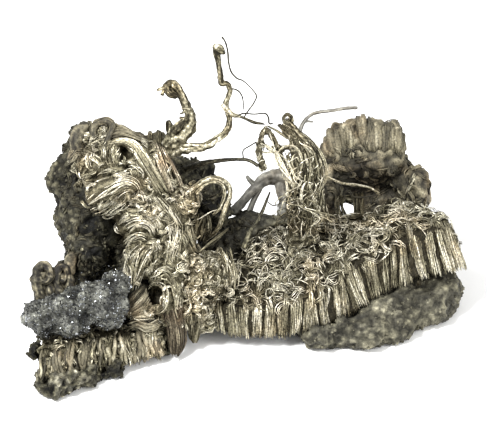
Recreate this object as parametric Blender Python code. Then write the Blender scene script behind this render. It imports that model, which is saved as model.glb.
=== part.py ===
"""Native silver specimen: curled wire silver on its dark matrix, with a sulphide crust.

The specimen is set out as a collector looks at it, from the front and 30 degrees above the
table. Every place is given in millimetres as (across, up, away): to the right of the middle,
up the sheet, and away from the eye. seen() turns that into the model's frame, in metres, with
+Z up and the table at Z = 0.
"""

import math

import bmesh
import bpy
from mathutils import Matrix, Vector, noise

MM = 0.001

# How the specimen is looked at.
VIEW_TILT = math.radians(30)
EYE_DISTANCE = 600.0
EYE_LEVEL = 26.0

# Brings the middle of the specimen's footprint to the origin.
MIDDLE_ACROSS = 0.35
MIDDLE_BACK = 24.7

# Clear space between neighbouring pieces, and what is added where the seam is rounded off.
GAP = 0.25
ROUNDING = 0.4

SILVER = {"colour": (0.62, 0.57, 0.45), "metallic": 0.8, "roughness": 0.42}
DULL_SILVER = {"colour": (0.40, 0.37, 0.30), "metallic": 0.6, "roughness": 0.55}
SULPHIDE = {"colour": (0.13, 0.14, 0.16), "metallic": 0.7, "roughness": 0.35}
DARK_ROCK = {"colour": (0.10, 0.10, 0.085), "metallic": 0.1, "roughness": 0.8}
GREY_ROCK = {"colour": (0.20, 0.20, 0.17), "metallic": 0.1, "roughness": 0.8}


def seen(across, up, away):
    """A place on the sheet as a point of the model, in metres."""
    spread = 1 + away / EYE_DISTANCE
    x = across * spread
    rise = EYE_LEVEL + (up - EYE_LEVEL) * spread
    y = rise * math.sin(VIEW_TILT) + away * math.cos(VIEW_TILT)
    z = rise * math.cos(VIEW_TILT) - away * math.sin(VIEW_TILT)
    return Vector((x - MIDDLE_ACROSS, y - MIDDLE_BACK, z)) * MM


TO_EYE = (seen(0, EYE_LEVEL, 0) - seen(0, EYE_LEVEL, 10)).normalized()


def curve_through(points, steps):
    """Points of a smooth curve through the given ones, with all their numbers blended alike."""
    ends = [points[0], *points, points[-1]]
    found = []
    for i in range(len(points) - 1):
        a, b, c, d = (Vector(p) for p in ends[i : i + 4])
        for k in range(steps):
            t = k / steps
            found.append(
                0.5
                * (
                    2 * b
                    + (c - a) * t
                    + (2 * a - 5 * b + 4 * c - d) * t**2
                    + (3 * b - a - 3 * c + d) * t**3
                )
            )
    found.append(Vector(points[-1]))
    return found


def closed_loft(rings, start_tip, end_tip):
    """A bmesh of rings joined in order, closed at each end to a tip."""
    bm = bmesh.new()
    loops = [[bm.verts.new(p) for p in ring] for ring in rings]
    count = len(rings[0])
    for low, high in zip(loops, loops[1:]):
        for i in range(count):
            j = (i + 1) % count
            bm.faces.new((low[i], low[j], high[j], high[i]))
    for loop, tip, order in ((loops[0], start_tip, -1), (loops[-1], end_tip, 1)):
        point = bm.verts.new(tip)
        for i in range(count):
            j = (i + 1) % count
            bm.faces.new((loop[i], loop[j], point)[::order])
    bmesh.ops.recalc_face_normals(bm, faces=bm.faces)
    return bm


def strand(route, wide, deep=None, sides=8, steps=4, flutes=0, flute_depth=0.0):
    """A wire or ribbon along a route of (across, up, away, thickness).

    wide and deep are its half width across the view and its half depth along it, for a
    thickness of 1. Flutes run lengthwise, as on a drawn-out bundle of grown wires.
    """
    deep = wide if deep is None else deep
    samples = curve_through(route, steps)
    centres = [seen(*s[:3]) for s in samples]
    rings = []
    for i, centre in enumerate(centres):
        ahead = centres[min(i + 1, len(centres) - 1)] - centres[max(i - 1, 0)]
        side = ahead.cross(TO_EYE).normalized()
        front = side.cross(ahead).normalized()
        size = samples[i][3] * MM
        ring = []
        for k in range(sides):
            angle = 2 * math.pi * k / sides
            reach = size * (1 + flute_depth * math.cos(flutes * angle))
            ring.append(centre + side * (reach * wide * math.cos(angle)) + front * (reach * deep * math.sin(angle)))
        rings.append(ring)
    first = (centres[0] - centres[1]).normalized() * samples[0][3] * min(wide, deep) * MM * 0.6
    last = (centres[-1] - centres[-2]).normalized() * samples[-1][3] * min(wide, deep) * MM * 0.6
    return closed_loft(rings, centres[0] + first, centres[-1] + last)


def blob(across, up, away, wide, tall, deep, turn=0.0):
    """A rounded lump with its half sizes across, up and along the view, turned on the sheet."""
    bm = bmesh.new()
    bmesh.ops.create_icosphere(bm, subdivisions=3, radius=MM)
    turned = Matrix.Rotation(math.radians(turn), 4, "Y")
    leaning = Matrix.Rotation(-VIEW_TILT, 4, "X")
    sized = Matrix.Diagonal((wide, deep, tall, 1))
    place = Matrix.Translation(seen(across, up, away))
    bmesh.ops.transform(bm, matrix=place @ leaning @ turned @ sized, verts=bm.verts)
    return bm


def merged(parts):
    """One bmesh that holds all the given ones."""
    whole = bmesh.new()
    for bm in parts:
        mesh = bpy.data.meshes.new("piece")
        bm.to_mesh(mesh)
        bm.free()
        whole.from_mesh(mesh)
        bpy.data.meshes.remove(mesh)
    return whole


def material_of(name, look):
    material = bpy.data.materials.get(name) or bpy.data.materials.new(name)
    material.use_nodes = True
    shader = material.node_tree.nodes["Principled BSDF"]
    shader.inputs["Base Color"].default_value = (*look["colour"], 1)
    shader.inputs["Metallic"].default_value = look["metallic"]
    shader.inputs["Roughness"].default_value = look["roughness"]
    material.diffuse_color = (*look["colour"], 1)
    return material


def new_object(name, bm, look_name, look):
    mesh = bpy.data.meshes.new(name)
    bm.to_mesh(mesh)
    bm.free()
    obj = bpy.data.objects.new(name, mesh)
    bpy.context.scene.collection.objects.link(obj)
    mesh.materials.append(material_of(look_name, look))
    return obj


def keep_largest_body(bm):
    """Drops the crumbs that a cut leaves beside the main body."""
    bodies = []
    left = set(bm.faces)
    while left:
        front = [left.pop()]
        body = set(front)
        while front:
            for side in front.pop().edges:
                if len(side.link_faces) == 2:
                    fresh = left.intersection(side.link_faces)
                    left -= fresh
                    body |= fresh
                    front += fresh
        bodies.append(body)
    largest = max(bodies, key=len)
    bmesh.ops.delete(bm, geom=[f for f in bm.faces if f not in largest], context="FACES")


def settle(obj):
    """Applies the object's modifiers, and keeps the largest body of the result."""
    graph = bpy.context.evaluated_depsgraph_get()
    mesh = bpy.data.meshes.new_from_object(obj.evaluated_get(graph))
    obj.modifiers.clear()
    old = obj.data
    obj.data = mesh
    mesh.name = obj.name
    bpy.data.meshes.remove(old)
    bm = bmesh.new()
    bm.from_mesh(mesh)
    bmesh.ops.triangulate(bm, faces=bm.faces)
    keep_largest_body(bm)
    bm.to_mesh(mesh)
    bm.free()
    return obj


def simplify(obj, triangles):
    """Brings a piece down to about that many triangles."""
    fewer = obj.modifiers.new("fewer faces", "DECIMATE")
    fewer.ratio = min(1.0, triangles / len(obj.data.polygons))
    return settle(obj)


def fuse(name, parts, look_name, look, grain, triangles, relief=0.0, relief_size=2.0):
    """Grows the parts together into one solid with lumps on it, in about that many triangles.

    grain is the fineness that the union is made at, and relief the height of the lumps.
    """
    obj = new_object(name, merged(parts), look_name, look)
    grown = obj.modifiers.new("grown together", "REMESH")
    grown.mode = "VOXEL"
    grown.voxel_size = grain * MM
    if relief:
        lumps = bpy.data.textures.new(name + " lumps", "CLOUDS")
        lumps.noise_scale = relief_size * MM
        lumps.noise_depth = 1
        raised = obj.modifiers.new("lumps", "DISPLACE")
        raised.texture = lumps
        raised.texture_coords = "GLOBAL"
        raised.strength = relief * MM
        raised.mid_level = 0.5
    settle(obj)
    return simplify(obj, triangles)


def cutter_from(obj, plain):
    """A copy of a piece, larger all round by the gap, to cut its neighbours with.

    A plain cutter is rounded off, so that the hidden seam beside a lumpy mass stays simple.
    """
    cutter = bpy.data.objects.new(obj.name + "_cutter", obj.data.copy())
    bpy.context.scene.collection.objects.link(cutter)
    swollen = cutter.modifiers.new("gap", "DISPLACE")
    swollen.strength = (GAP + ROUNDING if plain else GAP) * MM
    swollen.mid_level = 0.0
    if plain:
        rounded = cutter.modifiers.new("rounded off", "REMESH")
        rounded.mode = "VOXEL"
        rounded.voxel_size = 0.7 * MM
        simple = cutter.modifiers.new("simple", "DECIMATE")
        simple.ratio = 0.2
    cutter.hide_render = True
    cutter.display_type = "WIRE"
    return cutter


def keep_clear(obj, masses=(), wires=(), triangles=None):
    """Cuts a piece back so that it leaves the gap to each neighbour."""
    cutters = [cutter_from(n, True) for n in masses] + [cutter_from(n, False) for n in wires]
    for cutter in cutters:
        cut = obj.modifiers.new("clear of " + cutter.name, "BOOLEAN")
        cut.operation = "DIFFERENCE"
        cut.solver = "EXACT"
        cut.use_self = True
        cut.object = cutter
    settle(obj)
    for cutter in cutters:
        bpy.data.objects.remove(cutter)
    if triangles:
        simplify(obj, triangles)


def stand_on_table(obj):
    """Takes off what lies below the table, which leaves a flat place to rest on."""
    bm = bmesh.new()
    bm.from_mesh(obj.data)
    cut = bmesh.ops.bisect_plane(
        bm, geom=bm.verts[:] + bm.edges[:] + bm.faces[:], plane_co=(0, 0, 0), plane_no=(0, 0, 1), clear_inner=True
    )
    rim = [e for e in cut["geom_cut"] if isinstance(e, bmesh.types.BMEdge)]
    if rim:
        bmesh.ops.triangle_fill(bm, edges=rim, use_beauty=True, use_dissolve=False)
        bmesh.ops.recalc_face_normals(bm, faces=bm.faces)
    keep_largest_body(bm)
    bm.to_mesh(obj.data)
    bm.free()


def between(low, high, share):
    return Vector(low).lerp(Vector(high), share)


def columned_block(stations, columns, ridge, felt, cracks=(), seed=0):
    """A block whose front is a wall of grown columns, and whose top is a lumpy felt of wire.

    Each station holds four places down its cross section: the wall's foot, the wall's head, the
    back of the top, and the back of the underside. The columns run from head to foot. cracks
    gives (column, depth) where the wall has split.
    """
    deep = dict(cracks)
    lines = [curve_through([s[corner] for s in stations], 8) for corner in range(4)]
    last = len(lines[0]) - 1

    def on_line(line, share):
        at = min(max(share, 0.0), 1.0) * last
        i = min(int(at), last - 1)
        return line[i].lerp(line[i + 1], at - i)

    widths = [0.7 + 0.6 * noise.noise(Vector((seed + 0.73 * k, 1.7, 0.2))) for k in range(columns)]
    total = sum(widths)
    rings = []
    start = 0.0
    for k, width in enumerate(widths):
        share = width / total
        crack = deep.get(k, 0.28 * ridge)
        for step, depth in ((0.06, -crack), (0.3, ridge), (0.72, ridge * 0.9)):
            at = start + share * step
            foot, head, back, under = (on_line(line, at) for line in lines)
            height = (head - foot).length
            ring = []
            for fall, bulge, uneven in ((0.0, 0.35, 0.12), (0.4, 1.0, 0.0), (0.95, 0.55, 0.12)):
                point = between(foot, head, fall)
                point.z -= depth * bulge
                point.y += uneven * height * noise.noise(Vector((at * 40, fall * 3, seed)))
                ring.append(point)
            for share_back in (0.16, 0.5, 0.86):
                point = between(head, back, share_back)
                point.y += felt * noise.noise(Vector((at * 14, share_back * 4, seed + 5)))
                ring.append(point)
            ring.append(between(back, under, 0.4))
            ring.append(between(under, foot, 0.05))
            ring.append(between(under, foot, 0.7))
            rings.append([seen(*p) for p in ring])
        start += share
    tips = [sum(ring, Vector()) / len(ring) for ring in (rings[0], rings[-1])]
    return closed_loft(rings, tips[0], tips[1])


# Sulphide crust

CRUST_LUMPS = [
    (-19.8, 13.9, 4.6, 3.9, 3.2, 3.2, 15),
    (-17.8, 16.2, 5.6, 2.0, 2.2, 2.2, 20),
    (-22.5, 14.4, 4.2, 2.6, 2.3, 2.6, 0),
    (-25.0, 12.6, 3.8, 3.4, 2.7, 3.0, 20),
    (-28.8, 12.2, 4.6, 2.1, 2.3, 2.6, 0),
    (-27.6, 10.6, 4.2, 2.3, 1.5, 2.4, 0),
    (-23.6, 10.6, 3.6, 2.4, 1.5, 2.2, 0),
    (-18.6, 11.6, 5.0, 1.9, 1.7, 2.2, 0),
]


def sulphide_crust():
    parts = [blob(*lump) for lump in CRUST_LUMPS]
    return fuse("sulphide_crust", parts, "sulphide", SULPHIDE, 0.35, 460, relief=1.3, relief_size=1.5)


# Short striated wall at the front left foot

FOOT_STATIONS = [
    ((-28.3, 3.2, 0.9), (-28.6, 7.3, 1.6), (-27.5, 10.0, 7.5), (-26.5, 5.5, 7.5)),
    ((-25.6, 2.6, 0.9), (-26.0, 7.4, 1.6), (-25.0, 10.3, 7.8), (-24.0, 6.2, 8.0)),
    ((-22.6, 3.3, 2.6), (-23.2, 7.9, 2.6), (-22.5, 10.8, 8.5), (-21.5, 7.0, 9.0)),
    ((-19.6, 4.5, 4.6), (-20.6, 8.4, 4.3), (-20.0, 11.0, 9.5), (-19.0, 7.6, 10.5)),
    ((-16.2, 4.9, 6.4), (-17.2, 9.0, 5.8), (-16.8, 11.5, 10.5), (-15.8, 8.2, 11.5)),
    ((-13.2, 6.0, 7.8), (-14.0, 9.6, 7.2), (-13.6, 11.8, 11.5), (-12.6, 8.8, 12.5)),
    ((-10.6, 6.3, 8.8), (-11.2, 9.8, 8.2), (-11.0, 12.0, 12.0), (-10.2, 9.2, 13.5)),
]


def foot_wall():
    bm = columned_block(FOOT_STATIONS, 14, 0.42, 0.9, cracks=((2, 1.1), (4, 0.9), (8, 0.6)), seed=3)
    return new_object("foot_wall", bm, "silver", SILVER)


# Left wire mass: the big tangle, its brushes of straight wire and its fluted ribbons

TANGLE_LUMPS = [
    (-15.5, 30.0, 9.6, 5.6, 5.6, 4.0, 0),
    (-20.0, 32.8, 9.6, 3.4, 3.2, 2.6, 0),
    (-20.2, 37.0, 11.2, 3.5, 2.7, 2.6, 0),
    (-15.6, 35.4, 10.6, 3.5, 2.7, 3.0, -20),
    (-11.9, 36.2, 10.2, 1.7, 2.1, 1.8, 0),
    (-12.6, 25.6, 9.2, 5.6, 4.6, 3.6, 0),
    (-9.6, 21.5, 9.4, 3.4, 5.4, 3.4, 0),
    (-13.4, 20.4, 8.8, 3.2, 3.6, 3.0, 30),
    (-8.2, 28.0, 9.6, 2.2, 2.6, 2.6, 0),
    (-10.6, 15.0, 9.0, 2.6, 4.4, 3.0, 0),
    (-14.6, 12.9, 8.6, 2.2, 2.0, 2.4, 0),
    (-5.6, 17.6, 11.6, 4.4, 4.0, 3.2, 0),
    (-7.0, 13.2, 11.4, 2.8, 3.4, 3.0, 0),
    (-5.2, 11.2, 11.6, 1.7, 1.7, 2.0, 0),
]
BRUSH_ROUTE = [
    (-22.0, 28.2, 5.6, 0.86),
    (-20.4, 29.0, 5.0, 1.0),
    (-18.0, 30.1, 4.7, 1.05),
    (-15.8, 30.9, 4.9, 1.0),
    (-14.2, 30.6, 5.6, 0.8),
]
LOWER_BRUSH_ROUTE = [
    (-16.1, 16.0, 6.4, 0.7),
    (-15.2, 18.6, 5.6, 0.95),
    (-13.9, 20.8, 5.2, 1.0),
    (-12.6, 22.2, 5.4, 0.8),
]
RIBBONS = [
    ([(-19.0, 37.6, 10.0, 0.8), (-16.4, 37.2, 8.4, 1.0), (-14.0, 34.7, 7.2, 1.05), (-12.2, 32.0, 6.6, 0.95), (-11.0, 29.6, 6.6, 0.8)], 1.55, 1.0),
    ([(-12.9, 36.6, 9.0, 0.9), (-11.6, 34.0, 7.4, 1.0), (-10.4, 31.2, 6.8, 1.0), (-9.5, 29.2, 7.0, 0.8)], 0.95, 0.8),
    ([(-11.4, 35.9, 9.2, 0.8), (-10.2, 33.4, 8.0, 1.0), (-8.9, 30.9, 7.4, 1.0), (-8.2, 29.3, 7.6, 0.8)], 0.6, 0.6),
    ([(-19.4, 32.6, 6.8, 0.8), (-20.0, 34.6, 7.6, 1.0), (-18.6, 36.4, 7.8, 1.0), (-17.6, 34.6, 6.9, 0.9), (-17.2, 32.6, 6.6, 0.7)], 0.75, 0.7),
]
TONGUES = [
    ([(-9.4, 12.4, 9.2, 1.0), (-9.3, 9.4, 9.4, 1.0), (-9.2, 6.5, 9.9, 0.95)], 1.0, 0.9),
    ([(-6.9, 12.0, 10.8, 1.0), (-6.9, 10.0, 11.4, 0.95), (-6.9, 8.4, 12.2, 0.75)], 0.9, 0.8),
    ([(-13.2, 16.6, 6.6, 0.7), (-12.6, 17.8, 6.2, 1.0), (-11.2, 17.2, 6.2, 1.0), (-10.6, 14.8, 6.6, 1.0), (-11.4, 12.6, 7.0, 0.9), (-13.0, 12.2, 7.0, 0.8)], 0.5, 0.6),
]
LOOP_HOLE = (-12.2, 14.9, 6.6, 1.15, 1.7, 3.2, 0)
FOLD_HOLE = (-16.3, 35.1, 6.6, 0.75, 0.95, 2.2, 0)
SHADOW_HOLE = (-11.5, 23.6, 5.2, 0.6, 1.2, 1.8, 0)


def cut_pits(obj, pits):
    for pit in pits:
        hole = new_object("pit", blob(*pit), "silver", SILVER)
        cut = obj.modifiers.new("pit", "BOOLEAN")
        cut.operation = "DIFFERENCE"
        cut.solver = "EXACT"
        cut.object = hole
        settle(obj)
        bpy.data.objects.remove(hole)


def left_wire_mass():
    parts = [blob(*lump) for lump in TANGLE_LUMPS]
    parts.append(strand(BRUSH_ROUTE, 1.9, 1.0, sides=12, flutes=6, flute_depth=0.05))
    parts.append(strand(LOWER_BRUSH_ROUTE, 1.7, 0.9, sides=12, flutes=6, flute_depth=0.05))
    for route, wide, deep in RIBBONS + TONGUES:
        parts.append(strand(route, wide, deep, sides=10))
    obj = fuse("left_wire_mass", parts, "silver", SILVER, 0.3, 1900, relief=0.8, relief_size=1.1)
    cut_pits(obj, (LOOP_HOLE, FOLD_HOLE, SHADOW_HOLE))
    return obj


# Front band: the striated slab that runs off to the right, with felted wire on top

BAND_STATIONS = [
    ((-4.6, 10.4, 12.0), (-4.8, 14.2, 11.8), (-3.8, 20.5, 17.0), (-3.6, 17.0, 18.5)),
    ((-2.2, 9.2, 11.6), (-2.2, 14.4, 11.0), (-0.4, 22.2, 18.0), (-0.2, 18.0, 19.5)),
    ((1.8, 8.8, 11.4), (1.6, 14.0, 10.8), (2.4, 24.8, 19.5), (2.4, 20.0, 21.0)),
    ((5.4, 8.9, 11.4), (5.2, 14.2, 10.9), (5.4, 26.0, 21.0), (5.4, 21.4, 22.5)),
    ((9.0, 9.8, 11.6), (8.4, 15.0, 11.2), (9.0, 27.0, 21.6), (9.0, 22.0, 23.2)),
    ((12.8, 10.8, 12.0), (11.0, 16.4, 11.6), (12.2, 26.7, 21.8), (12.6, 22.0, 23.4)),
    ((15.6, 12.4, 12.6), (13.6, 18.0, 12.2), (15.0, 26.2, 21.8), (15.4, 22.2, 23.4)),
    ((18.6, 14.2, 13.4), (16.6, 20.6, 13.0), (17.6, 27.6, 22.0), (18.2, 23.4, 23.8)),
    ((21.6, 15.8, 14.2), (20.2, 22.0, 13.8), (20.4, 29.3, 22.6), (21.0, 24.4, 24.6)),
    ((25.0, 17.0, 15.0), (23.8, 24.0, 14.8), (23.8, 28.4, 22.2), (24.6, 24.6, 24.6)),
    ((28.8, 17.8, 16.2), (27.0, 25.0, 16.2), (26.4, 27.0, 21.4), (28.2, 23.6, 23.6)),
    ((31.4, 18.3, 18.0), (29.4, 24.4, 18.0), (28.2, 25.9, 20.6), (30.4, 22.0, 22.6)),
]


def front_band():
    cracks = ((12, 0.9), (14, 0.9), (15, 1.1), (17, 1.6), (18, 1.2), (19, 1.4))
    bm = columned_block(BAND_STATIONS, 24, 0.42, 1.5, cracks, seed=11)
    return new_object("front_band", bm, "silver", SILVER)


# Rear block: the striated block at the back right, on its overhung foot

BLOCK_STATIONS = [
    ((10.6, 32.2, 28.5), (10.9, 35.2, 28.5), (11.2, 34.2, 33.0), (10.8, 28.6, 33.0)),
    ((12.2, 32.5, 26.8), (11.9, 38.4, 26.6), (12.2, 37.4, 34.0), (12.2, 29.0, 34.0)),
    ((14.4, 32.6, 26.4), (14.2, 39.4, 26.2), (14.4, 38.6, 35.0), (14.4, 28.2, 35.0)),
    ((17.0, 32.5, 26.2), (17.0, 40.0, 26.0), (17.0, 39.0, 35.6), (17.0, 28.0, 35.6)),
    ((19.6, 32.2, 26.2), (19.6, 39.5, 26.0), (19.6, 38.8, 35.4), (19.6, 28.6, 35.4)),
    ((21.6, 32.4, 26.6), (21.4, 39.6, 26.4), (21.6, 38.6, 34.6), (21.8, 28.4, 34.6)),
    ((22.9, 33.4, 27.4), (22.6, 37.0, 27.4), (22.9, 36.4, 33.2), (23.2, 29.6, 33.2)),
]
BLOCK_SUPPORTS = [
    (12.1, 28.8, 28.0, 1.6, 3.8, 2.4, 0),
    (20.3, 27.0, 33.6, 4.7, 4.6, 2.6, 0),
    (20.5, 20.0, 32.0, 4.6, 6.0, 3.2, 0),
    (24.4, 30.8, 26.6, 2.0, 2.5, 2.6, 0),
    (24.6, 28.6, 27.0, 1.9, 2.2, 2.8, 0),
    (22.6, 31.0, 30.0, 1.8, 3.0, 3.0, 0),
]


def rear_block():
    cracks = ((5, 0.7), (8, 0.9))
    parts = [columned_block(BLOCK_STATIONS, 11, 0.5, 0.8, cracks, seed=23)]
    parts += [blob(*lump) for lump in BLOCK_SUPPORTS]
    return fuse("rear_block", parts, "dull silver", DULL_SILVER, 0.32, 760, relief=0.5, relief_size=1.4)


# Central tuft: a hollow sheaf of wire that stands on the band

TUFT_STRANDS = [
    ([(7.0, 23.0, 16.5, 1.0), (6.4, 27.0, 14.6, 0.9), (6.4, 30.5, 13.4, 0.85), (5.2, 34.6, 12.6, 0.8), (3.9, 37.4, 12.2, 0.8), (3.1, 38.5, 12.0, 0.7)], 0.62),
    ([(3.1, 38.5, 12.0, 0.7), (2.5, 37.2, 11.8, 0.85), (2.1, 35.6, 11.8, 0.9), (2.4, 34.0, 12.0, 1.0), (2.9, 32.6, 12.2, 1.25)], 0.62),
    ([(2.9, 36.0, 12.0, 0.7), (4.4, 35.2, 12.2, 0.8), (5.6, 33.4, 12.6, 0.9)], 0.45),
    ([(8.0, 24.0, 16.0, 1.2), (8.0, 28.0, 14.4, 1.2), (8.2, 31.5, 13.4, 1.2), (7.4, 35.0, 12.8, 1.0), (7.0, 37.4, 12.4, 0.9)], 0.85),
    ([(9.2, 24.5, 16.4, 1.1), (10.2, 28.0, 15.0, 1.0), (10.9, 31.6, 13.8, 1.0), (10.0, 34.2, 13.2, 1.0), (8.4, 36.4, 12.8, 1.0), (6.7, 38.6, 12.4, 1.0), (6.0, 39.7, 12.2, 0.8)], 0.66),
    ([(9.0, 25.0, 16.0, 1.2), (9.6, 29.0, 14.4, 1.3), (9.4, 32.4, 13.6, 1.3), (8.3, 34.8, 13.0, 1.1), (7.2, 37.0, 12.6, 0.9)], 0.8),
    ([(5.0, 35.0, 12.4, 0.8), (6.2, 35.7, 12.2, 0.9), (7.6, 35.4, 12.4, 0.9)], 0.5),
    ([(5.1, 38.5, 12.2, 0.6), (6.0, 37.6, 12.3, 1.0), (7.2, 37.0, 12.6, 1.0)], 0.6),
    ([(5.6, 39.0, 12.2, 0.7), (6.6, 38.4, 12.4, 1.0), (7.6, 37.4, 12.6, 1.0)], 0.6),
    ([(9.5, 24.0, 17.0, 1.0), (8.4, 22.6, 17.2, 1.0), (6.6, 23.0, 17.0, 0.8)], 1.6),
]


def tuft():
    parts = [strand(route, size, sides=8) for route, size in TUFT_STRANDS]
    return fuse("tuft", parts, "silver", SILVER, 0.22, 900)


# Free wires, each on its own route of (across, up, away, thickness)

HORN_ROUTE = [
    (-10.2, 35.2, 9.6, 1.2),
    (-9.6, 36.6, 8.8, 1.15),
    (-8.4, 37.6, 8.2, 1.1),
    (-7.65, 38.8, 7.8, 0.95),
    (-7.5, 40.2, 7.4, 0.8),
    (-8.15, 41.9, 7.0, 0.66),
    (-8.95, 43.4, 6.8, 0.64),
    (-9.8, 44.4, 6.6, 0.7),
    (-10.6, 44.3, 6.4, 0.66),
    (-10.5, 43.6, 6.0, 0.62),
    (-9.7, 42.9, 5.8, 0.5),
]
HORN_FLAKE_ROUTE = [(-10.6, 44.1, 6.2, 0.4), (-11.4, 43.9, 6.0, 0.5), (-12.1, 43.6, 5.9, 0.3)]
HORN_SPUR_ROUTE = [(-9.4, 37.2, 8.6, 0.9), (-10.1, 38.4, 8.4, 0.8), (-10.4, 39.2, 8.2, 0.5)]
KNOBBED_ROUTE = [
    (-9.4, 35.4, 9.8, 0.95),
    (-8.2, 35.6, 9.2, 0.8),
    (-6.8, 35.5, 8.6, 0.62),
    (-5.2, 35.8, 8.0, 0.5),
    (-3.8, 36.8, 7.6, 0.46),
    (-2.4, 38.0, 7.2, 0.46),
    (-2.0, 39.4, 6.9, 0.42),
    (-2.3, 40.8, 6.7, 0.40),
    (-2.3, 42.2, 6.5, 0.38),
    (-1.9, 43.6, 6.3, 0.38),
    (-2.2, 44.6, 6.2, 0.38),
    (-3.15, 44.8, 6.1, 0.44),
    (-3.4, 46.0, 5.9, 0.44),
    (-3.65, 47.6, 5.7, 0.44),
    (-3.75, 49.0, 5.5, 0.56),
    (-3.7, 49.7, 5.4, 0.66),
]
KNOB = (-3.45, 49.3, 5.5, 0.9, 0.74, 0.74, 30)
SPLIT_WIRE_ROUTE = [
    (-2.5, 41.7, 6.2, 0.40),
    (-2.0, 40.9, 6.0, 0.36),
    (-1.2, 40.3, 6.0, 0.30),
    (-0.2, 40.0, 6.1, 0.20),
    (1.0, 39.4, 6.6, 0.17),
    (2.0, 39.1, 7.6, 0.16),
    (2.7, 39.0, 9.0, 0.16),
]
CROSS_BAR_ROUTE = [
    (-8.0, 32.6, 14.0, 0.55),
    (-6.0, 33.2, 12.6, 0.42),
    (-4.0, 33.7, 12.0, 0.34),
    (-1.6, 34.0, 11.8, 0.30),
    (0.4, 34.0, 11.7, 0.30),
    (1.5, 33.5, 11.8, 0.30),
]
LOOP_ROUTE = [
    (-8.0, 28.6, 8.6, 0.5),
    (-6.6, 30.1, 8.0, 0.45),
    (-5.0, 31.1, 7.6, 0.45),
    (-3.4, 31.2, 7.6, 0.45),
    (-2.1, 30.3, 7.9, 0.44),
    (-1.9, 29.0, 8.3, 0.42),
    (-2.4, 27.6, 8.8, 0.40),
    (-2.9, 26.2, 9.6, 0.38),
    (-3.3, 24.8, 11.0, 0.34),
    (-4.2, 23.6, 12.8, 0.32),
    (-5.4, 22.6, 14.2, 0.32),
]
NEEDLE_ROUTE = [
    (3.7, 29.4, 15.2, 0.10),
    (3.0, 27.6, 15.4, 0.16),
    (2.2, 25.8, 15.8, 0.22),
    (1.0, 24.0, 16.2, 0.24),
    (0.0, 21.6, 16.4, 0.26),
]
REAR_BRANCHES = [
    ([(10.6, 33.4, 29.0, 0.9), (8.0, 32.2, 27.0, 1.2), (5.4, 31.6, 25.6, 1.3), (3.2, 31.2, 24.8, 1.0), (1.4, 29.8, 24.0, 0.7), (0.0, 28.2, 23.4, 0.65), (-1.4, 26.6, 22.6, 0.8)], 1.0),
    ([(5.0, 31.2, 25.4, 1.2), (5.2, 29.6, 25.0, 0.9), (5.6, 28.0, 24.4, 0.9), (5.4, 26.0, 23.0, 1.0)], 0.8),
    ([(1.8, 30.2, 24.2, 0.6), (0.9, 31.0, 24.0, 0.5), (0.5, 31.6, 23.8, 0.3)], 0.8),
    ([(2.6, 30.4, 24.6, 0.5), (1.5, 28.4, 24.2, 0.5), (0.7, 26.4, 23.6, 0.6)], 0.8),
]
REAR_WIRE_ROUTE = [
    (10.2, 34.4, 28.6, 0.34),
    (8.6, 36.0, 28.4, 0.32),
    (7.9, 37.8, 28.4, 0.30),
    (8.6, 39.4, 28.4, 0.28),
    (9.9, 40.4, 28.4, 0.27),
    (12.4, 40.8, 28.4, 0.26),
    (14.2, 41.1, 28.4, 0.26),
    (15.9, 41.2, 28.4, 0.24),
]
HAIR_ROUTE = [
    (-3.0, 51.1, 4.8, 0.10),
    (-2.5, 50.3, 4.9, 0.11),
    (-2.2, 49.0, 5.0, 0.11),
    (-2.1, 47.6, 5.1, 0.11),
    (-1.7, 46.2, 5.3, 0.11),
    (-0.9, 45.3, 5.5, 0.11),
    (-0.1, 45.0, 5.7, 0.11),
    (0.9, 44.1, 5.8, 0.11),
    (1.8, 42.9, 5.8, 0.11),
    (1.4, 41.8, 5.8, 0.11),
    (0.6, 40.7, 5.8, 0.11),
    (0.3, 40.2, 5.8, 0.11),
]
SHELF_WIRE_ROUTE = [
    (11.6, 31.5, 15.4, 0.2),
    (13.6, 30.7, 17.4, 0.2),
    (15.8, 30.4, 19.0, 0.2),
    (17.6, 30.0, 20.6, 0.2),
    (18.9, 29.2, 22.0, 0.2),
]
STUB_STRANDS = [
    ([(-27.4, 14.6, 8.2, 1.0), (-28.1, 16.4, 7.8, 1.0), (-28.2, 18.2, 7.4, 1.05), (-27.8, 18.9, 7.4, 0.8)], 1.35),
    ([(-25.4, 14.6, 8.6, 1.0), (-25.5, 16.8, 8.0, 1.0), (-25.3, 18.7, 7.6, 1.0)], 1.05),
    ([(-27.6, 17.6, 7.8, 1.0), (-26.4, 18.0, 7.8, 1.0), (-25.4, 18.2, 7.8, 1.0)], 1.0),
    ([(-24.4, 18.0, 9.0, 1.0), (-24.2, 19.6, 9.6, 1.0), (-23.4, 21.0, 10.6, 0.8)], 0.9),
]
STUB_PITS = [
    (-28.0, 18.6, 6.0, 0.55, 0.5, 1.2, 0),
    (-25.3, 18.6, 6.4, 0.6, 0.55, 1.2, 0),
]


def free_wire(name, route, look_name, look, sides=6, steps=2):
    return new_object(name, strand(route, 1.0, sides=sides, steps=steps), look_name, look)


def rams_horn():
    parts = [strand(route, 1.0, sides=8) for route in (HORN_ROUTE, HORN_FLAKE_ROUTE, HORN_SPUR_ROUTE)]
    return fuse("rams_horn", parts, "silver", SILVER, 0.18, 340)


def knobbed_wire():
    parts = [strand(KNOBBED_ROUTE, 1.0, sides=8), strand(SPLIT_WIRE_ROUTE, 1.0, sides=6), blob(*KNOB)]
    return fuse("knobbed_wire", parts, "silver", SILVER, 0.09, 420)


def curled_stubs():
    parts = [strand(route, size, sides=8) for route, size in STUB_STRANDS]
    obj = fuse("curled_stubs", parts, "dull silver", DULL_SILVER, 0.3, 300, relief=0.3, relief_size=1.0)
    cut_pits(obj, STUB_PITS)
    return obj


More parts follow.
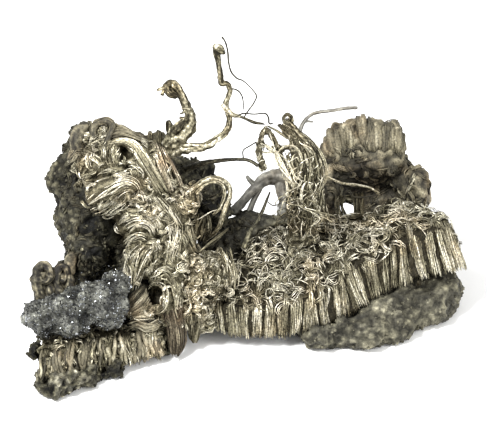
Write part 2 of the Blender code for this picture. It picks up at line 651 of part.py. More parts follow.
def rear_branch():
    parts = [strand(route, size, sides=8) for route, size in REAR_BRANCHES]
    return fuse("rear_branch", parts, "dull silver", DULL_SILVER, 0.24, 300)


# Matrix: the dark rock behind and below

LEFT_ROCK_LUMPS = [
    (-21.4, 27.0, 15.0, 5.0, 7.8, 5.0, 0),
    (-25.4, 31.2, 15.0, 2.5, 2.5, 2.4, 0),
    (-24.2, 33.2, 15.0, 2.2, 1.9, 2.4, 0),
    (-23.2, 25.6, 14.0, 2.3, 4.8, 3.6, 6),
    (-22.0, 21.0, 12.4, 3.0, 4.6, 4.4, 0),
    (-22.0, 36.0, 14.4, 2.5, 3.2, 3.0, 0),
    (-25.4, 16.4, 12.0, 3.0, 3.4, 4.0, 0),
    (-14.0, 31.0, 18.0, 6.2, 6.2, 5.0, 0),
    (-8.2, 31.4, 17.0, 3.6, 2.7, 3.0, 0),
    (-5.4, 32.2, 17.0, 1.8, 1.5, 1.8, 0),
    (-5.2, 29.2, 17.0, 3.0, 2.6, 2.6, 0),
    (-4.8, 26.6, 17.8, 3.2, 2.4, 2.6, 0),
    (-13.0, 22.0, 17.5, 6.6, 8.0, 5.4, 0),
    (-16.0, 14.0, 16.0, 8.0, 6.0, 6.0, 0),
    (-24.2, 12.0, 10.6, 5.4, 5.0, 5.2, 0),
    (-26.0, 2.7, 3.2, 3.2, 3.1, 4.3, -8),
    (-27.1, 6.9, 4.4, 3.0, 2.0, 4.0, 0),
    (-22.6, 4.0, 5.0, 3.2, 2.5, 3.6, 0),
    (-18.9, 4.8, 6.7, 2.5, 2.1, 3.2, 0),
    (-20.0, 7.0, 9.2, 5.0, 3.0, 3.6, -20),
    (-13.6, 8.4, 13.0, 4.6, 3.6, 4.0, 0),
]
RIGHT_ROCK_LUMPS = [
    (9.4, 10.6, 14.6, 2.3, 2.1, 3.2, 0),
    (11.0, 9.5, 13.7, 3.0, 2.9, 4.3, 0),
    (16.0, 10.0, 14.7, 5.2, 3.7, 4.7, 0),
    (21.0, 10.4, 16.0, 3.2, 3.2, 4.1, 0),
    (20.0, 13.4, 18.0, 5.4, 4.2, 5.0, 10),
    (25.6, 13.6, 19.2, 3.6, 3.6, 4.2, 0),
    (27.6, 15.2, 20.8, 3.2, 3.8, 4.1, 10),
    (12.0, 17.0, 22.4, 8.0, 5.4, 5.4, 0),
    (22.5, 17.4, 26.0, 5.6, 3.4, 5.4, 0),
    (17.5, 19.6, 31.0, 7.4, 3.1, 6.4, 0),
    (4.0, 16.0, 20.4, 6.4, 4.6, 4.6, 0),
    (6.0, 24.4, 22.6, 3.0, 2.0, 2.4, 0),
    (-2.2, 22.6, 21.0, 4.6, 3.2, 3.0, 0),
    (1.6, 25.0, 22.2, 3.8, 1.7, 2.4, 0),
    (-3.4, 16.0, 18.0, 4.2, 5.0, 4.2, 0),
]


def left_matrix():
    parts = [blob(*lump) for lump in LEFT_ROCK_LUMPS]
    return fuse("left_matrix", parts, "dark rock", DARK_ROCK, 0.5, 1000, relief=1.7, relief_size=2.2)


def right_matrix():
    parts = [blob(*lump) for lump in RIGHT_ROCK_LUMPS]
    return fuse("right_matrix", parts, "grey rock", GREY_ROCK, 0.5, 760, relief=1.5, relief_size=2.4)


def build():
    for obj in list(bpy.data.objects):
        bpy.data.objects.remove(obj)

    crust = sulphide_crust()
    foot = foot_wall()
    tangle = left_wire_mass()
    band = front_band()
    block = rear_block()
    sheaf = tuft()
    horn = rams_horn()
    knobbed = knobbed_wire()
    stubs = curled_stubs()
    branch = rear_branch()
    left_rock = left_matrix()
    right_rock = right_matrix()
    cross_bar = free_wire("cross_bar_wire", CROSS_BAR_ROUTE, "silver", SILVER)
    loop = free_wire("loop_wire", LOOP_ROUTE, "silver", SILVER, steps=3)
    needle = free_wire("needle_wire", NEEDLE_ROUTE, "silver", SILVER, sides=5)
    rear_wire = free_wire("rear_wire", REAR_WIRE_ROUTE, "dull silver", DULL_SILVER)
    hair = free_wire("hair_wire", HAIR_ROUTE, "dull silver", DULL_SILVER, sides=4)
    shelf_wire = free_wire("shelf_wire", SHELF_WIRE_ROUTE, "silver", SILVER, sides=5)

    keep_clear(foot, [crust], triangles=760)
    keep_clear(tangle, [crust, foot], triangles=1750)
    keep_clear(band, [tangle])
    keep_clear(block, [band], triangles=640)
    keep_clear(stubs, [crust], triangles=330)
    keep_clear(left_rock, [crust, foot, tangle, band, stubs], triangles=1180)
    keep_clear(right_rock, [band, tangle, block, foot, left_rock], triangles=900)
    keep_clear(sheaf, [band], triangles=720)
    keep_clear(horn, [tangle, left_rock], triangles=330)
    keep_clear(knobbed, [tangle, left_rock], [horn], triangles=370)
    keep_clear(cross_bar, [left_rock], [sheaf])
    keep_clear(loop, [tangle, left_rock, right_rock], triangles=300)
    keep_clear(needle, [band, right_rock])
    keep_clear(branch, [block, right_rock, band], [sheaf], triangles=280)
    keep_clear(rear_wire, [block], [branch])
    keep_clear(hair, [], [knobbed])
    keep_clear(shelf_wire, [band], [sheaf])

    for obj in (foot, left_rock, right_rock, block, tangle, band):
        stand_on_table(obj)


build()
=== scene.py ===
import math
import random

import bmesh
import bpy
import numpy as np
from mathutils import Matrix, Vector, noise
from mathutils.bvhtree import BVHTree


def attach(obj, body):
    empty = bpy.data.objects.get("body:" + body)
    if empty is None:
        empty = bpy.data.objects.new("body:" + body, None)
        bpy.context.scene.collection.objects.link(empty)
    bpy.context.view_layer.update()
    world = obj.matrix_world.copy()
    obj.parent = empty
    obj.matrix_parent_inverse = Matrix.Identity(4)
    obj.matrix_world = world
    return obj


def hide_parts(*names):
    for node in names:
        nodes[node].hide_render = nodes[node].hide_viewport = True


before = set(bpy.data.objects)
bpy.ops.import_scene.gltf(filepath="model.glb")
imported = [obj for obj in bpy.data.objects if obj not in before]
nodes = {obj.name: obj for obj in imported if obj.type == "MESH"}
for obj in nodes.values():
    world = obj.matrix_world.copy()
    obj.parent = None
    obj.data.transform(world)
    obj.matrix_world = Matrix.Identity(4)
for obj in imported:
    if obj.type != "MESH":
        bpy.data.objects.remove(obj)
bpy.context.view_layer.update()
scene = bpy.context.scene
mm = 0.001
print("frame loaded:", len(nodes), "nodes")


# where things lie: across, up and away from the eye, in mm, on a sheet seen from 30 degrees above

sheet = {
    "tilt": math.radians(30),
    "eyeDistance": 600.0,
    "eyeLevel": 26.0,
    "middleAcross": 0.35,
    "middleBack": 24.7,
    "pixel": 0.14,  # mm to a pixel of the picture
}
sinTilt, cosTilt = math.sin(sheet["tilt"]), math.cos(sheet["tilt"])


def seen(across, up, away):
    spread = 1 + away / sheet["eyeDistance"]
    rise = sheet["eyeLevel"] + (up - sheet["eyeLevel"]) * spread
    return Vector((
        across * spread - sheet["middleAcross"],
        rise * sinTilt + away * cosTilt - sheet["middleBack"],
        rise * cosTilt - away * sinTilt,
    )) * mm


def sheetOf(point):  # the reverse of seen
    x, y, z = point[0] / mm + sheet["middleAcross"], point[1] / mm + sheet["middleBack"], point[2] / mm
    rise, away = y * sinTilt + z * cosTilt, y * cosTilt - z * sinTilt
    spread = 1 + away / sheet["eyeDistance"]
    return x / spread, sheet["eyeLevel"] + (rise - sheet["eyeLevel"]) / spread, away


eye = seen(0, sheet["eyeLevel"], -sheet["eyeDistance"] + 0.001)
toEye = (seen(0, 26, 0) - seen(0, 26, 10)).normalized()


def smoothPath(points, count):  # a smooth curve through the points, at evenly spaced places
    ends = [points[0], *points, points[-1]]
    dense = []
    for i in range(len(points) - 1):
        a, b, c, d = (np.array(p, float) for p in ends[i : i + 4])
        for k in range(8):
            t = k / 8
            dense.append(0.5 * (2 * b + (c - a) * t + (2 * a - 5 * b + 4 * c - d) * t * t
                + (3 * b - a - 3 * c + d) * t**3))
    dense.append(np.array(points[-1], float))
    dense = np.array(dense)
    run = np.concatenate([[0], np.cumsum(np.linalg.norm(np.diff(dense[:, :2], axis=0), axis=1) + 1e-9)])
    at = np.linspace(0, run[-1], count)
    return np.stack([np.interp(at, run, dense[:, k]) for k in range(dense.shape[1])], 1)


# turning many wires into one mesh

class WireSet:
    def __init__(self, name, sides):
        self.name, self.sides = name, sides
        self.groups = {}
        self.count = 0

    def add(self, path, radius, tone, ups=None, wide=1.0, deep=1.0):
        # path is n points in metres, radius and tone one number or n of them
        n = len(path)
        path = np.asarray(path, float)
        radius = np.broadcast_to(np.asarray(radius, float), (n,))
        tone = np.broadcast_to(np.asarray(tone, float), (n,))
        if ups is None:
            ups = np.tile(np.array(toEye), (n, 1))
        self.groups.setdefault(n, []).append((path, radius, tone, np.asarray(ups, float), wide, deep))
        self.count += 1

    def build(self, material):
        sides, endSize = self.sides, 0.55
        allVerts, allFaces, allGrain, allTone, offset = [], [], [], [], 0
        angle = 2 * math.pi * np.arange(sides) / sides + 0.4
        for n, items in self.groups.items():
            path = np.array([i[0] for i in items])
            radius = np.array([i[1] for i in items])
            tone = np.array([i[2] for i in items])
            ups = np.array([i[3] for i in items])
            wide = np.array([i[4] for i in items])[:, None, None, None]
            deep = np.array([i[5] for i in items])[:, None, None, None]
            count = len(items)
            ahead = np.gradient(path, axis=1)
            ahead /= np.linalg.norm(ahead, axis=2, keepdims=True) + 1e-12
            side = np.cross(ahead, ups)
            length = np.linalg.norm(side, axis=2, keepdims=True)
            spare = np.cross(ahead, np.array([0.31, 0.52, 0.79]))
            side = np.where(length < 0.05, spare, side)
            side /= np.linalg.norm(side, axis=2, keepdims=True) + 1e-12
            front = np.cross(side, ahead)
            c, s = np.cos(angle)[None, None, :, None], np.sin(angle)[None, None, :, None]
            ring = radius[:, :, None, None] * (side[:, :, None, :] * c * wide + front[:, :, None,
                :] * s * deep)
            verts = path[:, :, None, :] + ring
            verts[:, 0] = path[:, 0, None, :] + ring[:, 0] * endSize
            verts[:, -1] = path[:, -1, None, :] + ring[:, -1] * endSize
            allVerts.append(verts.reshape(-1, 3))
            run = np.concatenate([np.zeros((count, 1)), np.cumsum(np.linalg.norm(np.diff(path, axis=1),
                axis=2), axis=1)], axis=1)
            shift = (np.arange(count) * 7.31)[:, None]
            grain = np.empty(verts.shape)
            grain[..., 0] = (radius[:, :, None] * np.cos(angle)[None, None, :] * wide[...,
                0]) / mm + shift[..., None] * 0.37
            grain[..., 1] = (radius[:, :, None] * np.sin(angle)[None, None, :] * deep[..., 0]) / mm
            grain[..., 2] = (run / mm + shift)[:, :, None]
            allGrain.append(grain.reshape(-1, 3))
            allTone.append(np.repeat(tone[:, :, None], sides, axis=2).reshape(-1))
            i = np.arange(count)[:, None, None] * n * sides
            j = np.arange(n - 1)[None, :, None] * sides
            k = np.arange(sides)[None, None, :]
            low = offset + i + j + k
            nextLow = offset + i + j + (k + 1) % sides
            quads = np.stack([low, nextLow, nextLow + sides, low + sides], -1).reshape(-1, 4)
            allFaces.append(quads)
            if sides == 4:
                ends = offset + np.arange(count)[:, None] * n * sides
                allFaces.append(ends + np.array([3, 2, 1, 0]))
                allFaces.append(ends + (n - 1) * sides + np.array([0, 1, 2, 3]))
            offset += count * n * sides
        places = np.concatenate(allVerts)
        places[:, 2] = np.maximum(places[:, 2], 0)
        obj = meshObject(self.name, places, np.concatenate(allFaces), material)
        setNumbers(obj.data, "grain", np.concatenate(allGrain))
        setNumbers(obj.data, "tone", np.concatenate(allTone))
        if sides != 4:
            closeEnds(obj)
        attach(obj, "root")
        print(f"{self.name}: {self.count} wires, {triangles(obj)} triangles")
        return obj


def meshObject(name, verts, quads, material):
    mesh = bpy.data.meshes.new(name)
    mesh.vertices.add(len(verts))
    mesh.vertices.foreach_set("co", np.asarray(verts, np.float32).ravel())
    mesh.loops.add(quads.size)
    mesh.loops.foreach_set("vertex_index", quads.astype(np.int32).ravel())
    mesh.polygons.add(len(quads))
    mesh.polygons.foreach_set("loop_start", np.arange(0, quads.size, 4, dtype=np.int32))
    mesh.update(calc_edges=True)
    mesh.polygons.foreach_set("use_smooth", np.ones(len(quads), bool))
    mesh.materials.append(material)
    obj = bpy.data.objects.new(name, mesh)
    scene.collection.objects.link(obj)
    return obj


def closeEnds(obj):
    bm = bmesh.new()
    bm.from_mesh(obj.data)
    bmesh.ops.holes_fill(bm, edges=[e for e in bm.edges if e.is_boundary], sides=0)
    bm.to_mesh(obj.data)
    bm.free()


def setNumbers(mesh, name, values):
    if values.ndim == 2:
        layer = mesh.attributes.new(name, "FLOAT_VECTOR", "POINT")
        layer.data.foreach_set("vector", values.astype(np.float32).ravel())
    else:
        layer = mesh.attributes.new(name, "FLOAT", "POINT")
        layer.data.foreach_set("value", values.astype(np.float32))


def triangles(obj):
    return sum(len(p.vertices) - 2 for p in obj.data.polygons)


# finishes

def startMaterial(name):
    material = bpy.data.materials.new(name)
    material.use_nodes = True
    tree = material.node_tree
    shader = tree.nodes["Principled BSDF"]

    def node(kind, inputs=None, **settings):
        made = tree.nodes.new(kind)
        for key, value in settings.items():
            setattr(made, key, value)
        for key, value in (inputs or {}).items():
            if hasattr(value, "is_output"):
                tree.links.new(value, made.inputs[key])
            else:
                made.inputs[key].default_value = value
        return made

    def link(output, target):
        tree.links.new(output, target)

    return material, shader, node, link


def blend(node, factor, first, second, mode="MIX"):
    mixer = node("ShaderNodeMix", data_type="RGBA", blend_type=mode)
    for key, value in ((0, factor), (6, first), (7, second)):
        if hasattr(value, "is_output"):
            mixer.id_data.links.new(value, mixer.inputs[key])
        else:
            mixer.inputs[key].default_value = value
    return mixer.outputs[2]


def ramp(node, value, stops):
    made = node("ShaderNodeValToRGB", {"Fac": value})
    points = made.color_ramp.elements
    while len(points) < len(stops):
        points.new(0.5)
    for point, (place, colour) in zip(points, stops):
        point.position = place
        point.color = (*colour, 1)
    return made.outputs["Color"]


def grey(value):
    return (value, value, value)


def wireFinish(name, look):
    # drawn wire: tone runs from tarnish and painted shade in the crevices to bright metal with a painted
    # highlight on top, with fine lengthwise lines
    material, shader, node, link = startMaterial(name)
    tone = node("ShaderNodeAttribute", attribute_name="tone").outputs["Fac"]
    grain = node("ShaderNodeAttribute", attribute_name="grain").outputs["Vector"]
    stretched = node("ShaderNodeMapping", {"Vector": grain, "Scale": (look["lines"], look["lines"],
        look["lines"] * 0.12)}).outputs["Vector"]
    lines = node("ShaderNodeTexNoise", {"Vector": stretched, "Scale": 1.0, "Detail": 2.0,
        "Roughness": 0.6}).outputs["Fac"]
    place = node("ShaderNodeTexCoord").outputs["Object"]
    patches = node("ShaderNodeTexNoise", {"Vector": place, "Scale": look["patches"], "Detail": 3.0,
        "Roughness": 0.6}).outputs["Fac"]
    specks = node("ShaderNodeTexNoise", {"Vector": place, "Scale": 3900.0, "Detail": 2.0}).outputs["Fac"]
    shade = node("ShaderNodeMath", {0: lines, 1: look["lineDepth"]}, operation="MULTIPLY").outputs[0]
    raised = node("ShaderNodeMath", {0: tone, 1: shade}, operation="ADD").outputs[0]
    level = node("ShaderNodeMath", {0: raised, 1: look["lineDepth"] * 0.5}, operation="SUBTRACT").outputs[0]
    metal = ramp(node, level, [(0.0, look["crevice"]), (0.3, look["shadow"]), (0.62, look["body"]),
        (1.0, look["bright"])])
    warm = ramp(node, patches, [(0.38, look["coolTint"]), (0.5, grey(1.0)), (0.64, look["warmTint"])])
    tinted = blend(node, 1.0, metal, warm, "MULTIPLY")
    dirt = ramp(node, specks, [(0.38, grey(0.3)), (0.5, grey(1.0)), (0.64, grey(1.45))])
    link(blend(node, look["dirt"], tinted, dirt, "MULTIPLY"), shader.inputs["Base Color"])
    shader.inputs["Metallic"].default_value = look["metallic"]
    rough = node("ShaderNodeMapRange", {"Value": level, "From Min": 0.0, "From Max": 1.0,
        "To Min": look["rough"][0], "To Max": look["rough"][1]}).outputs["Result"]
    link(rough, shader.inputs["Roughness"])
    bump = node("ShaderNodeBump", {"Height": lines, "Strength": look["bump"], "Distance": 0.00006})
    link(bump.outputs["Normal"], shader.inputs["Normal"])
    return material


silverLook = {
    "crevice": (0.015, 0.012, 0.005),
    "shadow": (0.11, 0.097, 0.06),
    "body": (0.335, 0.305, 0.212),
    "bright": (0.71, 0.665, 0.54),
    "coolTint": (0.95, 0.96, 0.93),
    "warmTint": (1.04, 0.97, 0.88),
    "patches": 190.0,
    "lines": 7.0,
    "lineDepth": 0.5,
    "dirt": 0.75,
    "metallic": 0.72,
    "rough": (0.62, 0.34),
    "bump": 0.6,
}
silverFinish = wireFinish("silverWire", silverLook)
warmLook = dict(silverLook, shadow=(0.08, 0.064, 0.042), body=(0.27, 0.232, 0.162),
    bright=(0.72, 0.645, 0.51), warmTint=(1.06, 0.94, 0.84))
warmFinish = wireFinish("warmSilver", warmLook)
dullLook = dict(silverLook, body=(0.20, 0.185, 0.12), bright=(0.42, 0.39, 0.27),
    shadow=(0.06, 0.055, 0.036), metallic=0.5, rough=(0.7, 0.5))
dullFinish = wireFinish("dullWire", dullLook)
softLook = dict(silverLook, crevice=(0.012, 0.01, 0.007), shadow=(0.06, 0.053, 0.034),
    body=(0.2, 0.175, 0.115), bright=(0.42, 0.39, 0.29), warmTint=(1.03, 0.93, 0.84), lineDepth=0.35,
    dirt=0.6, metallic=0.35, rough=(0.75, 0.55), bump=0.4)
softFinish = wireFinish("softSilver", softLook)
paleLook = dict(silverLook, shadow=(0.12, 0.115, 0.1), body=(0.3, 0.29, 0.25), bright=(0.62, 0.61, 0.56),
    lineDepth=0.2, dirt=0.25, metallic=0.3, rough=(0.6, 0.5), bump=0.2)
paleFinish = wireFinish("paleSilver", paleLook)
print("finishes made")


def rockFinish(name, look):
    material, shader, node, link = startMaterial(name)
    place = node("ShaderNodeTexCoord").outputs["Object"]
    broad = node("ShaderNodeTexNoise", {"Vector": place, "Scale": look["broad"], "Detail": 5.0,
        "Roughness": 0.62}).outputs["Fac"]
    fine = node("ShaderNodeTexNoise", {"Vector": place, "Scale": look["fine"], "Detail": 4.0,
        "Roughness": 0.7}).outputs["Fac"]
    cells = node("ShaderNodeTexVoronoi", {"Vector": place, "Scale": look["cells"], "Randomness": 1.0},
        feature="F1").outputs["Distance"]
    base = ramp(node, broad, [(0.32, look["dark"]), (0.5, look["body"]), (0.68, look["light"])])
    mottled = blend(node, 0.85, base, ramp(node, fine, [(0.36, grey(0.35)), (0.52, grey(1.0)),
        (0.62, grey(1.4)), (0.7, grey(look["glints"]))]), "MULTIPLY")
    grained = blend(node, look["gaps"], mottled, ramp(node, cells, [(0.08, grey(1.5)), (0.4, grey(0.85)),
        (0.62, grey(0.25))]), "MULTIPLY")
    # the relief tone darkens the colour in the pits and lightens it on the peaks: painted shade and light
    relief = node("ShaderNodeMath", {0: node("ShaderNodeAttribute", attribute_name="tone").outputs["Fac"],
        1: 0.5}, operation="MULTIPLY").outputs[0]
    paintedRelief = ramp(node, relief, [(0.05, grey(look["pits"])), (0.25, grey(0.9)),
        (0.425, grey(look["peaks"])), (0.85, look["palest"])])
    link(blend(node, 1.0, grained, paintedRelief, "MULTIPLY"), shader.inputs["Base Color"])
    shader.inputs["Metallic"].default_value = look["metallic"]
    shader.inputs["Specular IOR Level"].default_value = look["specular"]
    link(ramp(node, fine, [(0.35, grey(look["rough"][0])), (0.7, grey(look["rough"][1]))]),
        shader.inputs["Roughness"])
    height = node("ShaderNodeMath", {0: fine, 1: cells}, operation="SUBTRACT").outputs[0]
    bump = node("ShaderNodeBump", {"Height": height, "Strength": look["bump"], "Distance": 0.0002})
    link(bump.outputs["Normal"], shader.inputs["Normal"])
    return material


darkRockFinish = rockFinish("darkRock", {"dark": (0.016, 0.015, 0.008), "body": (0.05, 0.046, 0.029),
    "light": (0.084, 0.077, 0.051), "pits": 0.1, "peaks": 1.9, "palest": (3.9, 4.0, 4.7), "specular": 0.22,
    "broad": 460.0, "fine": 1700.0, "cells": 1150.0, "gaps": 0.9, "glints": 3.2, "metallic": 0.2,
    "rough": (0.8, 0.42), "bump": 1.0})
greyRockFinish = rockFinish("greyRock", {"dark": (0.085, 0.078, 0.052), "body": (0.103, 0.096, 0.066),
    "light": (0.127, 0.118, 0.085), "pits": 0.45, "peaks": 1.8, "palest": (1.8, 1.8, 1.8), "specular": 0.28,
    "broad": 360.0, "fine": 1400.0, "cells": 850.0, "gaps": 0.75, "glints": 2.6, "metallic": 0.1,
    "rough": (0.85, 0.5), "bump": 1.0})
sulphideFinish = rockFinish("sulphide", {"dark": (0.035, 0.036, 0.03), "body": (0.103, 0.104, 0.089),
    "light": (0.21, 0.212, 0.19), "pits": 0.22, "peaks": 1.7, "palest": (2.6, 2.6, 2.6), "specular": 0.5,
    "broad": 420.0, "fine": 2600.0, "cells": 2000.0, "gaps": 0.5, "glints": 2.2, "metallic": 0.55,
    "rough": (0.55, 0.28), "bump": 1.0})


# solid cores: the bodies that the wires grow on, and the rock

def copyOfNode(name, nodeName, material):
    source = nodes[nodeName]
    mesh = source.data.copy()
    mesh.transform(source.matrix_world)
    mesh.materials.clear()
    mesh.materials.append(material)
    obj = bpy.data.objects.new(name, mesh)
    scene.collection.objects.link(obj)
    return obj


def applyModifiers(obj):
    graph = bpy.context.evaluated_depsgraph_get()
    mesh = bpy.data.meshes.new_from_object(obj.evaluated_get(graph))
    obj.modifiers.clear()
    obj.data = mesh
    return obj


def roughen(obj, layers, shrink=0.0):
    # moves each point along its normal by layers of (size in mm, height in mm, kind), and keeps the flat foot
    mesh = obj.data
    count = len(mesh.vertices)
    co = np.empty(count * 3, np.float32)
    normal = np.empty(count * 3, np.float32)
    mesh.vertices.foreach_get("co", co)
    mesh.vertices.foreach_get("normal", normal)
    co, normal = co.reshape(-1, 3), normal.reshape(-1, 3)
    push = np.full(count, -shrink)
    for size, height, kind in layers:
        for i in range(count):
            spot = Vector(co[i]) / (size * mm)
            if kind == "lumps":
                push[i] += height * noise.noise(spot)
            elif kind == "grains":
                push[i] += height * (0.5 - noise.voronoi(spot)[0][0])
            else:
                push[i] += height * (0.5 - abs(noise.noise(spot)) * 2)
    # tone from the relief, darker in the pits and lighter on the bumps, is painted shade and light; the
    # listed spots then paint darker hollows and lighter places
    relief = (push + shrink) / (np.std(push) * 4 + 1e-6) + 0.5
    places = np.array([sheetOf(c) for c in co])
    for across, up, reach, share in paintedShading.get(obj.name, ()):
        relief *= 1 - share * np.exp(-((places[:, 0] - across) ** 2 + (places[:, 1] - up) ** 2) / reach**2)
    setNumbers(mesh, "tone", relief)
    out = co + normal * (push * mm)[:, None]
    out[:, 2] = np.maximum(out[:, 2], 0.0)
    mesh.vertices.foreach_set("co", out.astype(np.float32).ravel())
    mesh.update()


def core(name, nodeName, material, grid, layers, shrink=0.0):
    obj = copyOfNode(name, nodeName, material)
    finer = obj.modifiers.new("finer", "REMESH")
    finer.mode = "VOXEL"
    finer.voxel_size = grid * mm
    applyModifiers(obj)
    roughen(obj, layers, shrink)
    obj.data.polygons.foreach_set("use_smooth", np.ones(len(obj.data.polygons), bool))
    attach(obj, "root")
    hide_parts(nodeName)
    print(f"{name}: {triangles(obj)} triangles")
    return obj


coreShapes = {"leftRock": ("left_matrix", darkRockFinish, "dark_rock", 0.42,
    [(3.4, 0.5, "lumps"), (1.2, 0.75, "grains"), (0.8, 0.35, "lumps"), (0.5, 0.3, "lumps")], 0.05),
    "rightRock": ("right_matrix", greyRockFinish, "grey_rock", 0.42,
    [(3.0, 0.5, "lumps"), (1.1, 0.6, "grains"), (0.7, 0.3, "lumps"), (0.5, 0.25, "lumps")], 0.0),
    "crust": ("sulphide_crust", sulphideFinish, "sulphide", 0.2, [(2.2, 0.6, "lumps"), (0.9, 0.4, "grains"),
    (0.45, 0.22, "grains")], 0.1), "tangleCore": ("left_wire_mass", silverFinish, "silver", 0.42,
    [(1.2, 0.5, "ridges"), (0.6, 0.2, "ridges")], 0.4), "bandCore": ("front_band", silverFinish, "silver",
    0.46, [(1.2, 0.3, "ridges"), (0.6, 0.2, "ridges")], 0.4), "footCore": ("foot_wall", silverFinish,
    "silver", 0.4, [(1.0, 0.3, "ridges")], 0.35), "blockCore": ("rear_block", softFinish, "dull_silver",
    0.4, [(1.4, 0.5, "lumps"), (0.7, 0.3, "lumps")], 0.2), "tuftCore": ("tuft", silverFinish, "silver",
    0.24, [(0.9, 0.25, "ridges"), (0.5, 0.14, "ridges")], 0.16), "stubCore": ("curled_stubs", softFinish,
    "dull_silver", 0.18, [(1.4, 0.16, "lumps"), (0.5, 0.1, "lumps")], 0.0)}
# (across, up, reach, share) of painted shade in hollows and under overhangs, and of lighter places where the
# share is below zero
paintedShading = {
    "leftRock": [(-21.6, 24.8, 1.3, 0.85), (-20.8, 21, 1.8, 0.8), (-6.3, 32, 3.2, -0.05),
        (-5, 27.5, 3.5, 0.55), (-23.3, 28.5, 1.6, 0.5), (-19, 19.5, 1.6, 0.5), (-26.9, 31.6, 1.5, -0.3),
        (-25, 16, 2, 0.4), (-26, 1.6, 4.2, -2.6)],
    "crust": [(-28.3, 11.6, 1, -0.5), (-24.5, 10.2, 1.6, 0.3), (-20.4, 12, 0.8, 0.3),
        (-19.2, 10.6, 0.8, 0.3)],
    "rightRock": [(-2, 23, 4, 0.8), (3, 19.5, 3, 0.6), (0, 26, 3, 0.7), (9, 10.2, 2, 0.3)],
    "blockCore": [(16, 30.6, 2.8, 0.8), (20, 30.2, 2.2, 0.8), (13, 29, 2, 0.5)],
}
# painted shade inside the holes and the small pit of the wire mass
paintedShading["tangleCore"] = [(-12.3, 14.5, 1.5, 1.0), (-16.35, 35.2, 0.8, 1.0), (-11.5, 23.6, 0.9, 0.9),
    (-8.5, 18.6, 0.6, 0.9)]
# how light each wire core is: its relief tone is scaled down so the gaps between the wires show painted shade
coreShadeTones = {"bandCore": 0.0, "tangleCore": 0.38, "stubCore": 0.7, "tuftCore": 0.26, "blockCore": 0.75,
    "footCore": 0.35}
cores = {}
for coreName, (nodeName, finish, slotName, grid, layers, shrink) in coreShapes.items():
    cores[coreName] = core(coreName, nodeName, finish, grid, layers, shrink)
    if finish in (silverFinish, dullFinish, softFinish):
        shape = cores[coreName].data
        spots = np.empty(len(shape.vertices) * 3, np.float32)
        shape.vertices.foreach_get("co", spots)
        relief = np.empty(len(shape.vertices), np.float32)
        shape.attributes["tone"].data.foreach_get("value", relief)
        shape.attributes["tone"].data.foreach_set("value", (np.clip(relief, 0, 1) * coreShadeTones.get(coreName,
            0.3)).astype(np.float32))
        setNumbers(shape, "grain", spots.reshape(-1, 3) / mm)


# laying wires on a surface

def treeOf(*objs):
    verts, faces = [], []
    for obj in objs:
        start = len(verts)
        verts += [v.co.copy() for v in obj.data.vertices]
        faces += [[start + i for i in p.vertices] for p in obj.data.polygons]
    return BVHTree.FromPolygons(verts, faces)


def awayAt(tree, across, up, spare):  # how far back the surface lies behind a place on the sheet
    aim = (seen(across, up, 0) - eye).normalized()
    hit = tree.ray_cast(eye, aim)[0]
    return sheetOf(hit)[2] if hit else spare


